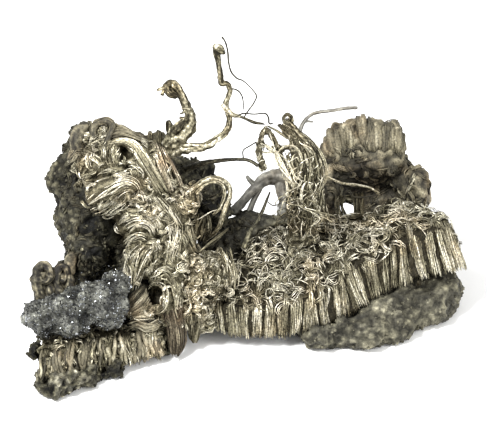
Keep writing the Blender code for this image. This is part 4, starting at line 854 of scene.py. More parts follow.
# name: rails on the sheet, and how the strands lie
fans = {
    "mainFan": ([[(-22.6, 28.7), (-21, 30.6), (-19, 31.4), (-17.2, 31.9), (-15.6, 31.6), (-14.4, 30.7),
        (-14, 29.6)], [(-21.9, 27.6), (-20, 28.9), (-18.3, 30), (-16.8, 30.7), (-15.6, 30.6), (-14.9, 30),
        (-14.7, 29.3)], [(-21.3, 26.2), (-19.6, 26.9), (-18.2, 27.9), (-17, 29.1), (-16.2, 29.6),
        (-15.6, 29.5), (-15.3, 29.2)]], {"strands": 16, "radius": 0.085, "bulge": 0.6, "points": 16,
        "tone": (0.7, 1.35), "bias": 0.7, "ragged": 0.18, "wave": 0.35, "ridge": 0.2, "uneven": 0.24,
        "dark": 0.05, "drift": 0.16, "top": 0.7}),
    "lowerFan": ([[(-20.6, 26.6), (-19, 27.4), (-17.6, 28.3), (-16.5, 28.9)],
        [(-19.4, 25.6), (-17.9, 26.2), (-16.7, 27), (-15.8, 27.8)]],
        {"strands": 7, "radius": 0.082, "bulge": 0.5, "tone": (0.6, 1.25), "ragged": 0.2, "dark": 0.05,
        "wave": 0.6, "drift": 0.3, "uneven": 0.2, "ridge": 0.2, "top": 0.9}),
    "crown": ([[(-18.2, 38.5), (-17.2, 38.9), (-16, 38.2), (-14.9, 37.5), (-13.6, 37.2)],
        [(-18.9, 36.9), (-17.4, 37.2), (-15.9, 37.1), (-14.6, 36.6), (-13.4, 35.9)]],
        {"strands": 28, "radius": 0.112, "bulge": 0.35, "tone": (0.4, 0.66), "wave": 0.25, "uneven": 0.04,
        "dark": 0.1, "shade": 0.3}),
    "broadRibbon": ([[(-18.6, 36.8), (-16.6, 37), (-14.9, 36.4), (-13.6, 34.9), (-12.4, 32.8),
        (-11.2, 30.9), (-10.3, 29.4)], [(-18.9, 36.2), (-16.9, 36.4), (-15.5, 35.7), (-14.5, 34.1),
        (-13.3, 32.1), (-12.2, 30.4), (-11.3, 29)], [(-18.6, 35.7), (-17.1, 36.1), (-16, 35.3), (-15, 33.9),
        (-14, 32.2), (-13, 30.6), (-12.1, 29.2)]], {"strands": 28, "radius": 0.132, "bulge": 0.7,
        "points": 18, "tone": (0.5, 0.76), "wave": 0.3, "uneven": 0.1, "ends": 0.8, "ridge": 0.35,
        "shade": 0.45, "wide": 1.3, "deep": 0.8, "dark": 0.2, "drift": 0.06}),
    "foldColumn": ([[(-18.4, 36.3), (-19.2, 35.3), (-19.2, 34), (-18.6, 32.9)],
        [(-17.3, 36), (-17.5, 35.2), (-17.6, 34.2), (-17.2, 33)]],
        {"strands": 9, "radius": 0.08, "bulge": 0.6, "tone": (0.4, 0.85), "wave": 0.6, "drift": 0.2,
        "dark": 0.15, "uneven": 0.18, "top": 0.6}),
    "foldCurls": ([[(-16.7, 33.9), (-15.6, 33.6), (-14.6, 32.8), (-13.4, 31.9)],
        [(-16.5, 33), (-15.6, 32.8), (-14.9, 32.4), (-14.2, 31.9)]],
        {"strands": 6, "radius": 0.08, "bulge": 0.4, "tone": (0.4, 0.95), "wave": 1, "drift": 0.3,
        "dark": 0.1, "top": 0.8, "uneven": 0.2}),
    "topLine": ([[(-20.2, 32.2), (-18.8, 32.7), (-17.4, 32.5), (-16.2, 32.4)],
        [(-20.6, 31.5), (-19, 32.1), (-17.6, 32.1), (-16.4, 32)]],
        {"strands": 5, "radius": 0.072, "bulge": 0.3, "tone": (0.45, 1), "wave": 1.2, "drift": 0.4,
        "dark": 0.1, "top": 1}),
    "pinkRibbon": ([[(-13, 36.6), (-12.5, 34.7), (-11.8, 32.6), (-11, 30.6), (-10.5, 29.1)],
        [(-11.8, 36.2), (-11.1, 34.3), (-10.3, 32.2), (-9.6, 30.4), (-9.3, 29.1)]],
        {"strands": 17, "radius": 0.11, "bulge": 0.5, "points": 14, "tone": (0.4, 0.85), "wave": 0.25,
        "uneven": 0.12, "ends": 0.75, "drift": 0.05}),
    "outerRibbon": ([[(-11.6, 35.9), (-10.5, 33.7), (-9.5, 31.6), (-8.8, 29.8)],
        [(-11.1, 35.8), (-9.9, 33.4), (-8.8, 31.2), (-8, 29.4)]],
        {"strands": 12, "radius": 0.1, "bulge": 0.5, "points": 12, "tone": (0.35, 0.8), "wave": 0.25,
        "ends": 0.7, "drift": 0.05}),
    "leftBundle": ([[(-22.9, 35.2), (-21.4, 35), (-20.2, 34.2), (-19.5, 33.2)],
        [(-23, 34.3), (-21.7, 34.1), (-20.7, 33.4), (-20.1, 32.6)]],
        {"strands": 9, "radius": 0.078, "bulge": 0.5, "tone": (0.4, 1), "wave": 1.2, "drift": 0.35,
        "uneven": 0.2, "dark": 0.15, "top": 0.9}),
    "knotLine": ([[(-22, 36.4), (-21, 36.7), (-20, 36.6), (-19.3, 36.2)],
        [(-22.1, 35.8), (-21.2, 36.1), (-20.3, 36), (-19.6, 35.6)]],
        {"strands": 4, "radius": 0.075, "bulge": 0.2, "tone": (0.5, 0.85), "drift": 0.4, "wave": 0.9,
        "dark": 0.1, "top": 1}),
    "diagonal": ([[(-12.9, 28.8), (-11.5, 27.2), (-10.4, 25.5), (-9.5, 23.7)],
        [(-11.7, 28.9), (-10.5, 27.6), (-9.4, 26.1), (-8.4, 24.3)]],
        {"strands": 8, "radius": 0.085, "bulge": 0.7, "points": 14, "tone": (0.55, 1.15), "wave": 0.8,
        "drift": 0.25, "dark": 0.15, "top": 0.9, "uneven": 0.2}),
    "arcs": ([[(-17.2, 25.2), (-15.2, 26), (-13.4, 25.9), (-12.3, 24.9), (-12, 23.6)],
        [(-16.2, 23.2), (-15.2, 24.2), (-14.2, 24.5), (-13.3, 24.1), (-13, 23.2)]],
        {"strands": 9, "radius": 0.08, "bulge": 0.5, "tone": (0.55, 1.15), "wave": 0.7, "dark": 0.05,
        "drift": 0.35, "uneven": 0.22, "ridge": 0.2, "top": 0.8}),
    "lowArcs": ([[(-16.9, 22.2), (-15.9, 23.4), (-14.7, 23.7), (-13.5, 23.3)],
        [(-16.6, 21.2), (-15.7, 22.3), (-14.6, 22.7), (-13.6, 22.4)]],
        {"strands": 6, "radius": 0.099, "bulge": 0.3, "tone": (0.6, 1)}),
    "secondFan": ([[(-16.7, 15.9), (-16.9, 18.2), (-16.4, 20.2), (-15.3, 21.7), (-13.9, 22.7)],
        [(-15.8, 15.4), (-15.5, 17.8), (-14.9, 19.7), (-14, 21.3), (-12.8, 22.5)],
        [(-15, 15.2), (-14.4, 17.2), (-13.7, 18.9), (-12.9, 20.6), (-12, 21.9)]],
        {"strands": 14, "radius": 0.08, "bulge": 0.5, "points": 14, "tone": (0.55, 1.2), "ragged": 0.25,
        "dark": 0.05, "wave": 0.6, "drift": 0.2, "uneven": 0.22, "ridge": 0.2, "top": 0.8}),
    "plates": ([[(-13.6, 22.4), (-12.6, 22.9), (-11.7, 22.4)], [(-13.2, 21.2), (-12.4, 21.9), (-11.5, 22)]],
        {"strands": 9, "radius": 0.12, "bulge": 0.3, "points": 8, "tone": (0.5, 0.95), "wide": 1.3,
        "deep": 0.6}),
    "leaf": ([[(-16.4, 13.6), (-15.8, 14.8), (-14.8, 15.9), (-14, 16.4)],
        [(-16.3, 12.6), (-14.9, 13.3), (-13.8, 14.6), (-13.5, 15.9)],
        [(-15.8, 11.8), (-14, 11.8), (-12.6, 12.1), (-12.4, 12.5)]],
        {"strands": 24, "radius": 0.125, "bulge": 0.3, "tone": (0.5, 0.75), "wave": 0.3, "uneven": 0.05,
        "dark": 0.1}),
    "leafEdge": ([[(-15.8, 12.2), (-15.2, 11.7), (-13.8, 11.6), (-12.4, 11.8)],
        [(-15.7, 12), (-15.1, 11.5), (-13.8, 11.4), (-12.3, 11.6)]],
        {"strands": 3, "radius": 0.099, "bulge": 0.1, "tone": (0.8, 1)}),
    "slab": ([[(-16.2, 11.2), (-14.8, 11.6), (-13.2, 11), (-11.6, 11.7)],
        [(-16.4, 10), (-14.9, 10.4), (-13.2, 9.7), (-11.5, 10.7)]],
        {"strands": 10, "radius": 0.105, "bulge": 0.3, "tone": (0.5, 0.9), "wave": 0.8, "uneven": 0.15,
        "dark": 0.1, "drift": 0.4, "ridge": 0.3, "shade": 0.4}),
    "verticals": ([[(-10.4, 25), (-10.1, 23), (-10.5, 21), (-11.2, 19)],
        [(-8.4, 25.2), (-8.3, 23.2), (-8.8, 21.4), (-9.6, 19.4)]],
        {"strands": 9, "radius": 0.08, "bulge": 0.6, "points": 14, "tone": (0.45, 1.05), "wave": 0.9,
        "drift": 0.5, "uneven": 0.25, "dark": 0.1, "ridge": 0.2, "top": 0.8}),
    "fallingCurls": ([[(-8.4, 25), (-7.8, 22.6), (-7, 20.6), (-5.9, 20.6), (-5.6, 21.6)],
        [(-7.4, 25.2), (-7, 23.4), (-6.6, 21.8), (-6.3, 21.3), (-6, 22)]],
        {"strands": 7, "radius": 0.08, "bulge": 0.5, "points": 14, "tone": (0.45, 1), "wave": 0.8,
        "drift": 0.4, "dark": 0.15, "uneven": 0.22, "top": 0.7}),
    "rays": ([[(-13.2, 17.8), (-12.2, 18.9), (-10.9, 18.9), (-10.2, 17.8)],
        [(-12.4, 16.4), (-11.6, 17), (-10.9, 16.9), (-10.3, 16.5)]],
        {"strands": 8, "radius": 0.08, "bulge": 0.5, "tone": (0.5, 0.95), "wave": 1.1, "drift": 0.4,
        "dark": 0.1, "top": 0.7, "uneven": 0.22}),
    "holeRim": ([[(-13.6, 16), (-12.6, 16.9), (-11.4, 16.7), (-10.6, 15.6), (-10.4, 14.2), (-10.8, 12.9),
        (-11.8, 12.1)], [(-13.4, 15.6), (-12.6, 16.3), (-11.7, 16.1), (-11.1, 15.2), (-10.9, 14.2),
        (-11.2, 13.2), (-12, 12.5)]], {"strands": 4, "radius": 0.09, "bulge": 0.4, "points": 18,
        "tone": (0.65, 1.05), "wave": 0.5, "dark": 0, "top": 0.5}),
    "nearHole": ([[(-10.1, 16.6), (-9.8, 14.8), (-9.9, 12.8), (-10.2, 11)],
        [(-9, 16.9), (-8.8, 15), (-8.6, 13), (-8.6, 11)]], {"strands": 7, "radius": 0.082, "bulge": 0.5,
        "tone": (0.45, 1.05), "wave": 1.2, "drift": 0.5, "dark": 0.1, "top": 0.8, "uneven": 0.25}),
    "tongue": ([[(-11.5, 12.6), (-10.8, 10.5), (-10.5, 8.5), (-10.3, 7.2), (-9.9, 6.3)],
        [(-10, 13.2), (-9.5, 11), (-9.2, 8.8), (-9.3, 7.4), (-9.5, 6.2)],
        [(-8.6, 13.8), (-8.2, 11.5), (-8, 9.2), (-8.3, 7.6), (-9.1, 6.3)]],
        {"strands": 26, "radius": 0.105, "bulge": 0.5, "points": 14, "tone": (0.25, 0.55), "wave": 0.5,
        "ends": 0.7, "ragged": 0.1, "drift": 0.1, "dark": 0.15, "ridge": 0.7, "clumps": 3}),
    "smallTongue": ([[(-7.8, 12.4), (-7.7, 10.6), (-7.6, 9.2), (-7, 8.2)],
        [(-5.9, 12.2), (-5.9, 10.8), (-6.1, 9.4), (-6.6, 8.2)]],
        {"strands": 15, "radius": 0.105, "bulge": 0.5, "tone": (0.2, 0.5), "wave": 0.4, "ends": 0.7,
        "ragged": 0.08}),
    "brightVerticals": ([[(-3.6, 21.4), (-2.9, 19.4), (-2.3, 17.4), (-2, 15.6)],
        [(-1.9, 21.6), (-1.3, 19.6), (-0.8, 17.6), (-1, 15.8)]],
        {"strands": 9, "radius": 0.085, "bulge": 0.4, "tone": (0.2, 0.9), "wave": 0.9, "drift": 0.4,
        "dark": 0.15, "top": 0.7, "uneven": 0.22}),
    "leftEdge": ([[(-24.7, 34.2), (-24.2, 35.4), (-23.4, 35.9), (-22.6, 35.9)],
        [(-24.4, 33.2), (-23.7, 33.9), (-23.2, 34.6), (-22.7, 34.8)]],
        {"strands": 12, "radius": 0.12, "bulge": 0.4, "tone": (0.4, 0.7), "wave": 0.5, "shade": 0.5}),
    "darkStub": ([[(-12.2, 36.2), (-12.1, 37.2), (-12.1, 38.1)],
        [(-11.6, 36), (-11.6, 37.1), (-11.7, 38.1)]], {"strands": 6, "radius": 0.132, "bulge": 0.2,
        "points": 8, "tone": (0.15, 0.3), "wave": 0.2}),
    "darkStubs": ([[(-13.4, 36.9), (-13.3, 37.6), (-13.2, 38)],
        [(-12.7, 36.6), (-12.8, 37.5), (-12.9, 38)]], {"strands": 6, "radius": 0.132, "bulge": 0.2,
        "points": 8, "tone": (0.2, 0.4), "wave": 0.2}),
}
cell = 0.4
covered = set()  # cells of the sheet that the fans cover
for rails, _ in fans.values():
    lines = [smoothPath(rail, 30)[:, :2] for rail in rails]
    for low, high in zip(lines, lines[1:]):
        for share in np.linspace(0.08, 0.92, 9):
            for a, u in low * (1 - share) + high * share:
                covered.add((round(a / cell), round(u / cell)))


holes = [
    (-12.3, 14.5, 1.3, 1.9), (-16.35, 35.2, 0.7, 0.9), (-11.5, 23.6, 0.6, 1.1), (-19.6, 38.9, 0.3, 0.25),
    (-1.8, 15.2, 0.6, 0.6), (-8.5, 18.6, 0.6, 0.5),
]
for across, up, wide, tall in holes:
    for a in np.arange(across - wide, across + wide, cell / 2):
        for u in np.arange(up - tall, up + tall, cell / 2):
            if ((a - across) / wide) ** 2 + ((u - up) / tall) ** 2 < 1:
                covered.add((round(a / cell), round(u / cell)))


def offFans(spot, normal):
    a, u, _ = sheetOf(spot)
    if -18.5 < a < -11 and u > 36.6:
        return False
    return not (Vector(normal).dot(toEye) > 0 and (round(a / cell), round(u / cell)) in covered)


wires = WireSet("tangleUnder", 3)
growLocks(wires, cores["tangleCore"], tangleTree, tangle["under"], 11, offFans, tangle["hints"])
wires.build(silverFinish)
wires = WireSet("tangleOver", 3)
growLocks(wires, cores["tangleCore"], tangleTree, tangle["over"], 12, offFans, tangle["hints"])


def inCurls(spot, normal):
    a, u, _ = sheetOf(spot)
    return Vector(normal).dot(toEye) > 0 and (-9 < a < -5 and 11 < u < 22 or -17 < a < -7
        and 23.5 < u < 30.5 and a + u > 12) and offFans(spot, normal)


def besideHollow(spot, normal):
    a, u, _ = sheetOf(spot)
    return Vector(normal).dot(toEye) > 0 and -5 <= a < 0 and 11 < u < 22 and offFans(spot, normal)


growLocks(wires, cores["tangleCore"], tangleTree, tangle["curls"], 13, inCurls, tangle["hints"])
# the curls beside the hollow get a darker tone: painted shade
growLocks(wires, cores["tangleCore"], tangleTree, dict(tangle["curls"], tone=(0.0, 0.8)), 13, besideHollow,
    tangle["hints"])
wires.build(silverFinish)

# (across, up, how far in front, radius)
knots = [
    [(-20.9, 36.9, 0.1, 0.5), (-21.1, 38, 0.3, 0.52), (-20.5, 39, 0.4, 0.5), (-19.4, 39.4, 0.4, 0.5),
        (-18.5, 39, 0.4, 0.5), (-18.3, 38.1, 0.4, 0.46), (-18.9, 37.5, 0.4, 0.42),
        (-19.7, 37.6, 0.2, 0.36)],
    [(-23.3, 35.4, 0, 0.8), (-23.4, 36.8, 0.2, 0.95), (-22.8, 38, 0.2, 1), (-21.9, 38.6, 0.1, 0.8)],
    [(-18.2, 39, 0.1, 0.4), (-18.6, 37.6, 0.3, 0.42), (-19.2, 36.4, 0.3, 0.44), (-19.5, 35.2, 0.3, 0.36)],
    [(-20.6, 35.9, 0.1, 0.3), (-20.2, 36.6, 0.3, 0.32), (-19.6, 36.6, 0.4, 0.3), (-19.4, 36, 0.3, 0.26)],
]


def laidOut(route, tree, spare, flat):
    # a route laid in front of a surface, with its depth pulled towards the middle by the share named flat
    laid = [(a, u, awayAt(tree, a, u, spare) - out, size) for a, u, out, size in route]
    middle = sum(p[2] for p in laid) / len(laid)
    return [(a, u, flat * middle + (1 - flat) * w, size) for a, u, w, size in laid]


limb("knot", [laidOut(route, tangleTree, 9.0, 0.6) for route in knots], softFinish, "silver", None,
    sides=18, perMm=6, flutes=2.4, fluteDepth=0.2, lumps=0.2, fine=0.1, tone=0.26, specks=0.25)

# the wire mat laps over the rock at its left
edgeTree = treeOf(cores["tangleCore"], cores["leftRock"])
edgeLocks = {"count": 6500, "behind": 0.0, "points": 8, "length": (1.4, 3.2), "strands": (2, 4),
    "gap": 0.22, "curl": 0.7, "swirl": 2.0, "wild": 0.4, "lift": (0.5, 0.9), "sink": 0.1,
    "radius": (0.06, 0.085), "tone": (0.4, 0.95)}


def atLeftEdge(spot, normal):
    a, u, _ = sheetOf(spot)
    inPatch = ((a + 21.2) / 2.4) ** 2 + ((u - 33.2) / 2.6) ** 2 < 1 or ((a + 21.9) / 1.0) ** 2 + ((u
        - 30.4) / 1.6) ** 2 < 1
    return inPatch and Vector(normal).dot(toEye) > -0.1


wires = WireSet("gapWires", 3)
comb(wires, [[(-7.6, 22.4, 11.0), (-7.0, 24.4, 11.4), (-6.6, 26.4, 12.0)],
    [(-5.2, 22.4, 14.0), (-4.6, 24.4, 14.2), (-4.8, 26.4, 14.4)]],
    {"strands": 20, "radius": 0.15, "tone": (0.15, 0.6), "bulge": 0.3, "wave": 0.8, "points": 10,
    "ragged": 0.1, "drift": 0.4})
comb(wires, [[(-7.6, 25.2, 9.6), (-6.2, 25.7, 9.6), (-4.4, 26.7, 9.8), (-2.9, 27.0, 10.2),
    (-1.7, 28.0, 10.4)], [(-7.6, 25.1, 9.6), (-6.2, 25.6, 9.6), (-4.4, 26.6, 9.8), (-2.9, 26.9, 10.2),
    (-1.7, 27.9, 10.4)]], {"strands": 1, "radius": 0.085, "tone": (0.9, 1.0), "bulge": 0, "wave": 0.3,
    "points": 14, "ragged": 0, "top": 0, "dark": 0})
comb(wires, [[(-6.4, 20.9, 8.6), (-5.2, 21.9, 8.8), (-3.6, 23.1, 9.4), (-2.2, 24.4, 10.4)],
    [(-6.3, 20.7, 8.6), (-5.1, 21.7, 8.8), (-3.5, 22.9, 9.4), (-2.1, 24.2, 10.4)]],
    {"strands": 3, "radius": 0.15, "tone": (0.1, 0.4), "bulge": 0.1, "wave": 0.6, "points": 14, "ragged": 0,
    "top": 0, "dark": 0})
wires.build(silverFinish)
wires = WireSet("edgeLocks", 3)
growLocks(wires, cores["leftRock"], edgeTree, edgeLocks, 14, atLeftEdge,
    [(-21, 33, 25, 3.0), (-22.5, 30, 70, 2.0)])
wires.build(silverFinish)

wires = WireSet("tangleFans", 4)
warmWires = WireSet("warmFans", 4)
dullWires = WireSet("dullFans", 4)
for fanName, (rails, spec) in fans.items():
    holder = warmWires if fanName in ("pinkRibbon", "outerRibbon",
        "tongue") else dullWires if fanName in ("crown", "leaf", "slab", "leftEdge") else wires
    comb(holder, rails, spec, tangleTree, 8.0)
warmWires.build(warmFinish)
dullWires.build(softFinish)

# nests of arcs: (across, up, radius, turns, strands, squash, start, tone)
nests = [
    (-21, 37, 0.5, 0.8, 3, 0.7, 40, 0.8), (-22, 36.6, 0.6, 0.6, 3, 0.6, 100, 0.8),
    (-20.4, 35.6, 0.6, 0.7, 3, 0.6, 200, 0.85), (-12.8, 26.3, 1, 0.9, 4, 0.7, 10, 0.95),
    (-17.2, 26.6, 0.75, 0.8, 3, 0.6, 0, 0.85), (-14.4, 29.2, 0.7, 0.6, 3, 0.8, 80, 0.9),
    (-14, 27.8, 0.8, 0.7, 3, 0.7, 150, 0.9), (-12.9, 30.2, 0.6, 0.8, 3, 1.2, 60, 0.9),
    (-16, 28.6, 0.6, 0.7, 3, 0.8, 200, 0.9), (-11.2, 28.8, 0.7, 0.6, 3, 0.8, 300, 0.9),
    (-9.3, 28.4, 0.8, 0.7, 3, 0.9, 30, 0.95), (-10.7, 23.8, 0.6, 0.7, 3, 1.3, 260, 0.85),
    (-8.5, 18.9, 1.1, 0.75, 4, 0.8, 60, 0.9), (-5.2, 18.6, 1.1, 0.7, 4, 0.8, 20, 0.95),
    (-3.9, 17.2, 0.8, 0.7, 3, 1, 180, 0.95), (-6.6, 17, 1, 0.7, 4, 0.7, 240, 0.9),
    (-4.8, 15, 1, 0.7, 3, 0.8, 320, 0.9), (-11.2, 18.2, 1, 0.5, 4, 0.8, 20, 1),
    (-2, 15.4, 0.9, 0.8, 4, 0.8, 200, 0.9), (-9.6, 20.9, 0.9, 0.45, 3, 1.4, 30, 1),
    (-7.4, 27, 0.8, 0.7, 3, 0.7, 120, 0.9),
]
rnd = random.Random(5)
for across, up, size, turns, strands, squash, start, tone in nests:
    back = awayAt(tangleTree, across, up, 9.0) - 0.6
    for k in range(strands):
        route = []
        for j in range(14):
            t = j / 13
            turn = math.radians(start) + t * turns * 2 * math.pi
            r = size * (1 - 0.22 * k) * (1 - 0.25 * t + 0.12 * noise.noise(Vector((t * 3, across + k, up))))
            route.append(seen(across + r * math.cos(turn), up + r * squash * math.sin(turn),
                back + 0.35 * size * math.sin(turn + 1 + across) - 0.12 * k + 0.5 * abs(2 * t - 1) ** 3))
        wires.add(np.array(route), 0.068 * rnd.uniform(0.8, 1.3) * mm
            * (1 - 0.3 * np.abs(np.linspace(-1, 1, 14)) ** 3), tone * rnd.uniform(0.65, 1.1) * np.ones(14))
wires.build(silverFinish)


# walls of upright columns: band, foot and rear block

def wall(wires, stations, spec, seed):
    # columns hang from the head to the foot of each station, clumped by noise, split where a crack is marked
    rnd = random.Random(seed)
    corners = [smoothPath([s[k] for s in stations], 240) for k in range(4)]
    n = spec["points"]
    t = np.linspace(0, 1, n)

    def lineAt(corner, share):
        place = min(max(share, 0), 1) * 239
        i = min(int(place), 238)
        return corners[corner][i] * (1 - (place - i)) + corners[corner][i + 1] * (place - i)

    for k in range(spec["strands"]):
        outer = k % 3 == 2  # every third strand is a shorter one that lies on top of the others
        share = (k + rnd.uniform(-0.5, 0.5)) / spec["strands"]
        clump = noise.noise(Vector((share * spec["clumps"], seed, 0)))
        finer = noise.noise(Vector((share * spec["clumps"] * 3.1, seed, 7)))
        lean = spec["lean"] * noise.noise(Vector((share * spec["clumps"] * 0.4, seed + 3, 0)))
        foot, head, back = lineAt(0, share), lineAt(1, share + lean * 0.03), lineAt(2, share + lean * 0.04)
        middle = (foot[0] + head[0]) / 2
        split = max((math.exp(-(((middle - at) / wide) ** 2)) for at, wide in spec["cracks"]), default=0)
        if split > 0.72 and rnd.random() < 0.8:
            continue
        line = foot[None, :] + (head - foot)[None, :] * t[:, None]
        bend = np.clip((t - (1 - spec["over"])) / spec["over"], 0, 1)[:, None] ** 2
        line = line + bend * ((back - head) * 0.25)[None, :]
        front = spec["bulge"] * (0.55 + (0.8 * clump + 0.7 * finer)
            * (0.6 if middle < spec["calmTo"] else 1)) - 0.9 * split + (0.15 if outer else 0)
        wobble = np.array([noise.noise(Vector((share * spec["clumps"] * 1.6, s * 2.2, seed + 2))) for s in t])
        patch = noise.noise(Vector((middle * 0.42, seed + 9, 0))) * (0.4 if middle < spec["calmTo"] else 1)
        front += 0.5 * patch
        line[:, 2] -= front * (0.6 + 0.4 * np.sin(math.pi * t * 0.8)) + 0.3 * wobble - 0.1
        line[:, 1] += (spec["uneven"] * (clump + 0.6 * finer) + rnd.uniform(-1, 1) * spec["frayed"]) * (1 - t)
        line[:, 1] += spec.get("crest", 0) * (clump + 0.8 * finer + 0.3 * rnd.uniform(-1, 1)) * t
        line[:, 0] += spec["wave"] * (np.sin(rnd.uniform(0, 6) + t * rnd.uniform(3, 8)) + 1.5 * wobble)
        floorShare = spec.get("from", 0.0)
        low, high = (rnd.uniform(floorShare, 0.5), rnd.uniform(0.65, 1.0)) if outer else (floorShare
            + rnd.uniform(0, 0.08), 1.0)
        line = np.stack([np.interp(np.linspace(low, high, n), t, line[:, c]) for c in range(3)], 1)
        own = spec["tone"][0] + (spec["tone"][1] - spec["tone"][0]) * min(max(0.5
            + (0.4 * clump + 0.4 * finer + rnd.uniform(-0.5, 0.5)) * (0.45 if middle < spec["calmTo"]
            else 1), 0), 1)
        # darker near the cracks and towards the head, painted shade; lighter on strands that stand out in
        # front and on the outer strands, painted light
        tone = own * (1 - 0.6 * split) * (1 + 0.7 * patch) * (0.85 + 0.7 * wobble
            + (0.12 if outer else 0)) * (1 - spec["headShade"] * t**3)
        thick = spec["radius"] * rnd.uniform(0.7, 1.3) * mm * (1 - 0.35 * np.abs(2 * t - 1) ** 4)
        wires.add(np.array([seen(*p) for p in line]), thick, tone, None, rnd.uniform(0.9, 1.5), 1.0)


bandStations = [
    ((-4.6, 10.4, 12), (-4.8, 14.2, 11.8), (-3.8, 20.5, 17), (-3.6, 17, 18.5)),
    ((-2.2, 9.2, 11.6), (-2.2, 14.4, 11), (-0.4, 22.2, 18), (-0.2, 18, 19.5)),
    ((1.8, 8.8, 11.4), (1.6, 14, 10.8), (2.4, 24.8, 19.5), (2.4, 20, 21)),
    ((5.4, 8.9, 11.4), (5.2, 14.2, 10.9), (5.4, 26, 21), (5.4, 21.4, 22.5)),
    ((9, 9.8, 11.6), (8.4, 15, 11.2), (9, 27, 21.6), (9, 22, 23.2)),
    ((12.8, 10.8, 12), (11, 16.4, 11.6), (12.2, 26.7, 21.8), (12.6, 22, 23.4)),
    ((15.6, 12.4, 12.6), (13.6, 18, 12.2), (15, 26.2, 21.8), (15.4, 22.2, 23.4)),
    ((18.6, 14.2, 13.4), (16.6, 20.6, 13), (17.6, 27.6, 22), (18.2, 23.4, 23.8)),
    ((21.6, 15.8, 14.2), (20.2, 22, 13.8), (20.4, 29.3, 22.6), (21, 24.4, 24.6)),
    ((25, 17, 15), (23.8, 24, 14.8), (23.8, 28.4, 22.2), (24.6, 24.6, 24.6)),
    ((28.8, 17.8, 16.2), (27, 25, 16.2), (26.4, 27, 21.4), (28.2, 23.6, 23.6)),
    ((31.4, 18.3, 18), (29.4, 24.4, 18), (28.2, 25.9, 20.6), (30.4, 22, 22.6)),
]
footStations = [
    ((-28.3, 3.2, 0.9), (-28.6, 7.3, 1.6), (-27.5, 10, 7.5), (-26.5, 5.5, 7.5)),
    ((-25.6, 2.6, 0.9), (-26, 7.4, 1.6), (-25, 10.3, 7.8), (-24, 6.2, 8)),
    ((-22.6, 3.3, 2.6), (-23.2, 7.9, 2.6), (-22.5, 10.8, 8.5), (-21.5, 7, 9)),
    ((-19.6, 4.5, 4.6), (-20.6, 8.4, 4.3), (-20, 11, 9.5), (-19, 7.6, 10.5)),
    ((-16.2, 4.9, 6.4), (-17.2, 9, 5.8), (-16.8, 11.5, 10.5), (-15.8, 8.2, 11.5)),
    ((-13.2, 6, 7.8), (-14, 9.6, 7.2), (-13.6, 11.8, 11.5), (-12.6, 8.8, 12.5)),
    ((-10.6, 6.3, 8.8), (-11.2, 9.8, 8.2), (-11, 12, 12), (-10.2, 9.2, 13.5)),
]
blockStations = [
    ((10.6, 32.2, 28.5), (10.9, 35.2, 28.5), (11.2, 34.2, 33), (10.8, 28.6, 33)),
    ((12.2, 32.5, 26.8), (11.9, 38.4, 26.6), (12.2, 37.4, 34), (12.2, 29, 34)),
    ((14.4, 32.6, 26.4), (14.2, 39.4, 26.2), (14.4, 38.6, 35), (14.4, 28.2, 35)),
    ((17, 32.5, 26.2), (17, 40, 26), (17, 39, 35.6), (17, 28, 35.6)),
    ((19.6, 32.2, 26.2), (19.6, 39.5, 26), (19.6, 38.8, 35.4), (19.6, 28.6, 35.4)),
    ((21.6, 32.4, 26.6), (21.4, 39.6, 26.4), (21.6, 38.6, 34.6), (21.8, 28.4, 34.6)),
    ((22.9, 33.4, 27.4), (22.6, 37, 27.4), (22.9, 36.4, 33.2), (23.2, 29.6, 33.2)),
]
walls = {
    "band": {"strands": 470, "points": 12, "clumps": 19, "cracks": [(-2.6, 0.35), (0.9, 0.25), (2.7, 0.25),
        (4.6, 0.28), (6.4, 0.22), (8.3, 0.2), (10.4, 0.22), (12.2, 0.48), (14.6, 0.25), (17, 0.25),
        (19.1, 0.6), (20.5, 0.18), (21.6, 0.36), (23.4, 0.5), (25.4, 0.35), (27.2, 0.25)], "lean": 2,
        "uneven": 0.5, "over": 0.3, "bulge": 0.42, "wave": 0.1, "radius": 0.098, "tone": (0.34, 1.02),
        "frayed": 0.1, "headShade": 0.45, "calmTo": 9.5},
    "footThick": {"strands": 60, "points": 11, "clumps": 22, "cracks": [(-27, 0.4), (-23.2, 0.35),
        (-20.6, 0.25), (-18.4, 0.2)], "lean": 5, "uneven": 0.9, "over": 0.4, "bulge": 0.8, "wave": 0.2,
        "radius": 0.23, "tone": (0.35, 0.85), "frayed": 0.12, "headShade": 0.3, "calmTo": -99},
    "foot": {"strands": 150, "points": 11, "clumps": 22, "cracks": [(-27.9, 0.4), (-26.4, 0.4),
        (-24.9, 0.35), (-23.4, 0.45), (-21.9, 0.3), (-20.6, 0.3), (-19.2, 0.25), (-17.6, 0.25),
        (-15, 0.25)], "lean": 4.5, "uneven": 0.9, "over": 0.4, "bulge": 0.6, "wave": 0.16, "radius": 0.1,
        "tone": (0.2, 0.75), "frayed": 0.06, "headShade": 0.3, "calmTo": -99},
    "block": {"strands": 120, "points": 9, "clumps": 9, "cracks": [(16, 0.2), (19.2, 0.2)], "from": 0.36,
        "lean": 1.2, "uneven": 0.8, "over": 0.05, "bulge": 0.5, "wave": 0.1, "radius": 0.26,
        "tone": (0.35, 0.78), "frayed": 0.5, "headShade": 0.25, "calmTo": 99, "crest": 0.75},
}
wires = WireSet("bandColumns", 3)
wall(wires, bandStations, walls["band"], 3)
wires.build(silverFinish)
wires = WireSet("footColumns", 4)
wall(wires, footStations, walls["foot"], 8)
wires.build(silverFinish)
wires = WireSet("footThick", 6)
wall(wires, footStations, walls["footThick"], 9)
wires.build(softFinish)
wires = WireSet("blockColumns", 5)
wall(wires, blockStations, walls["block"], 5)
wires.build(softFinish)

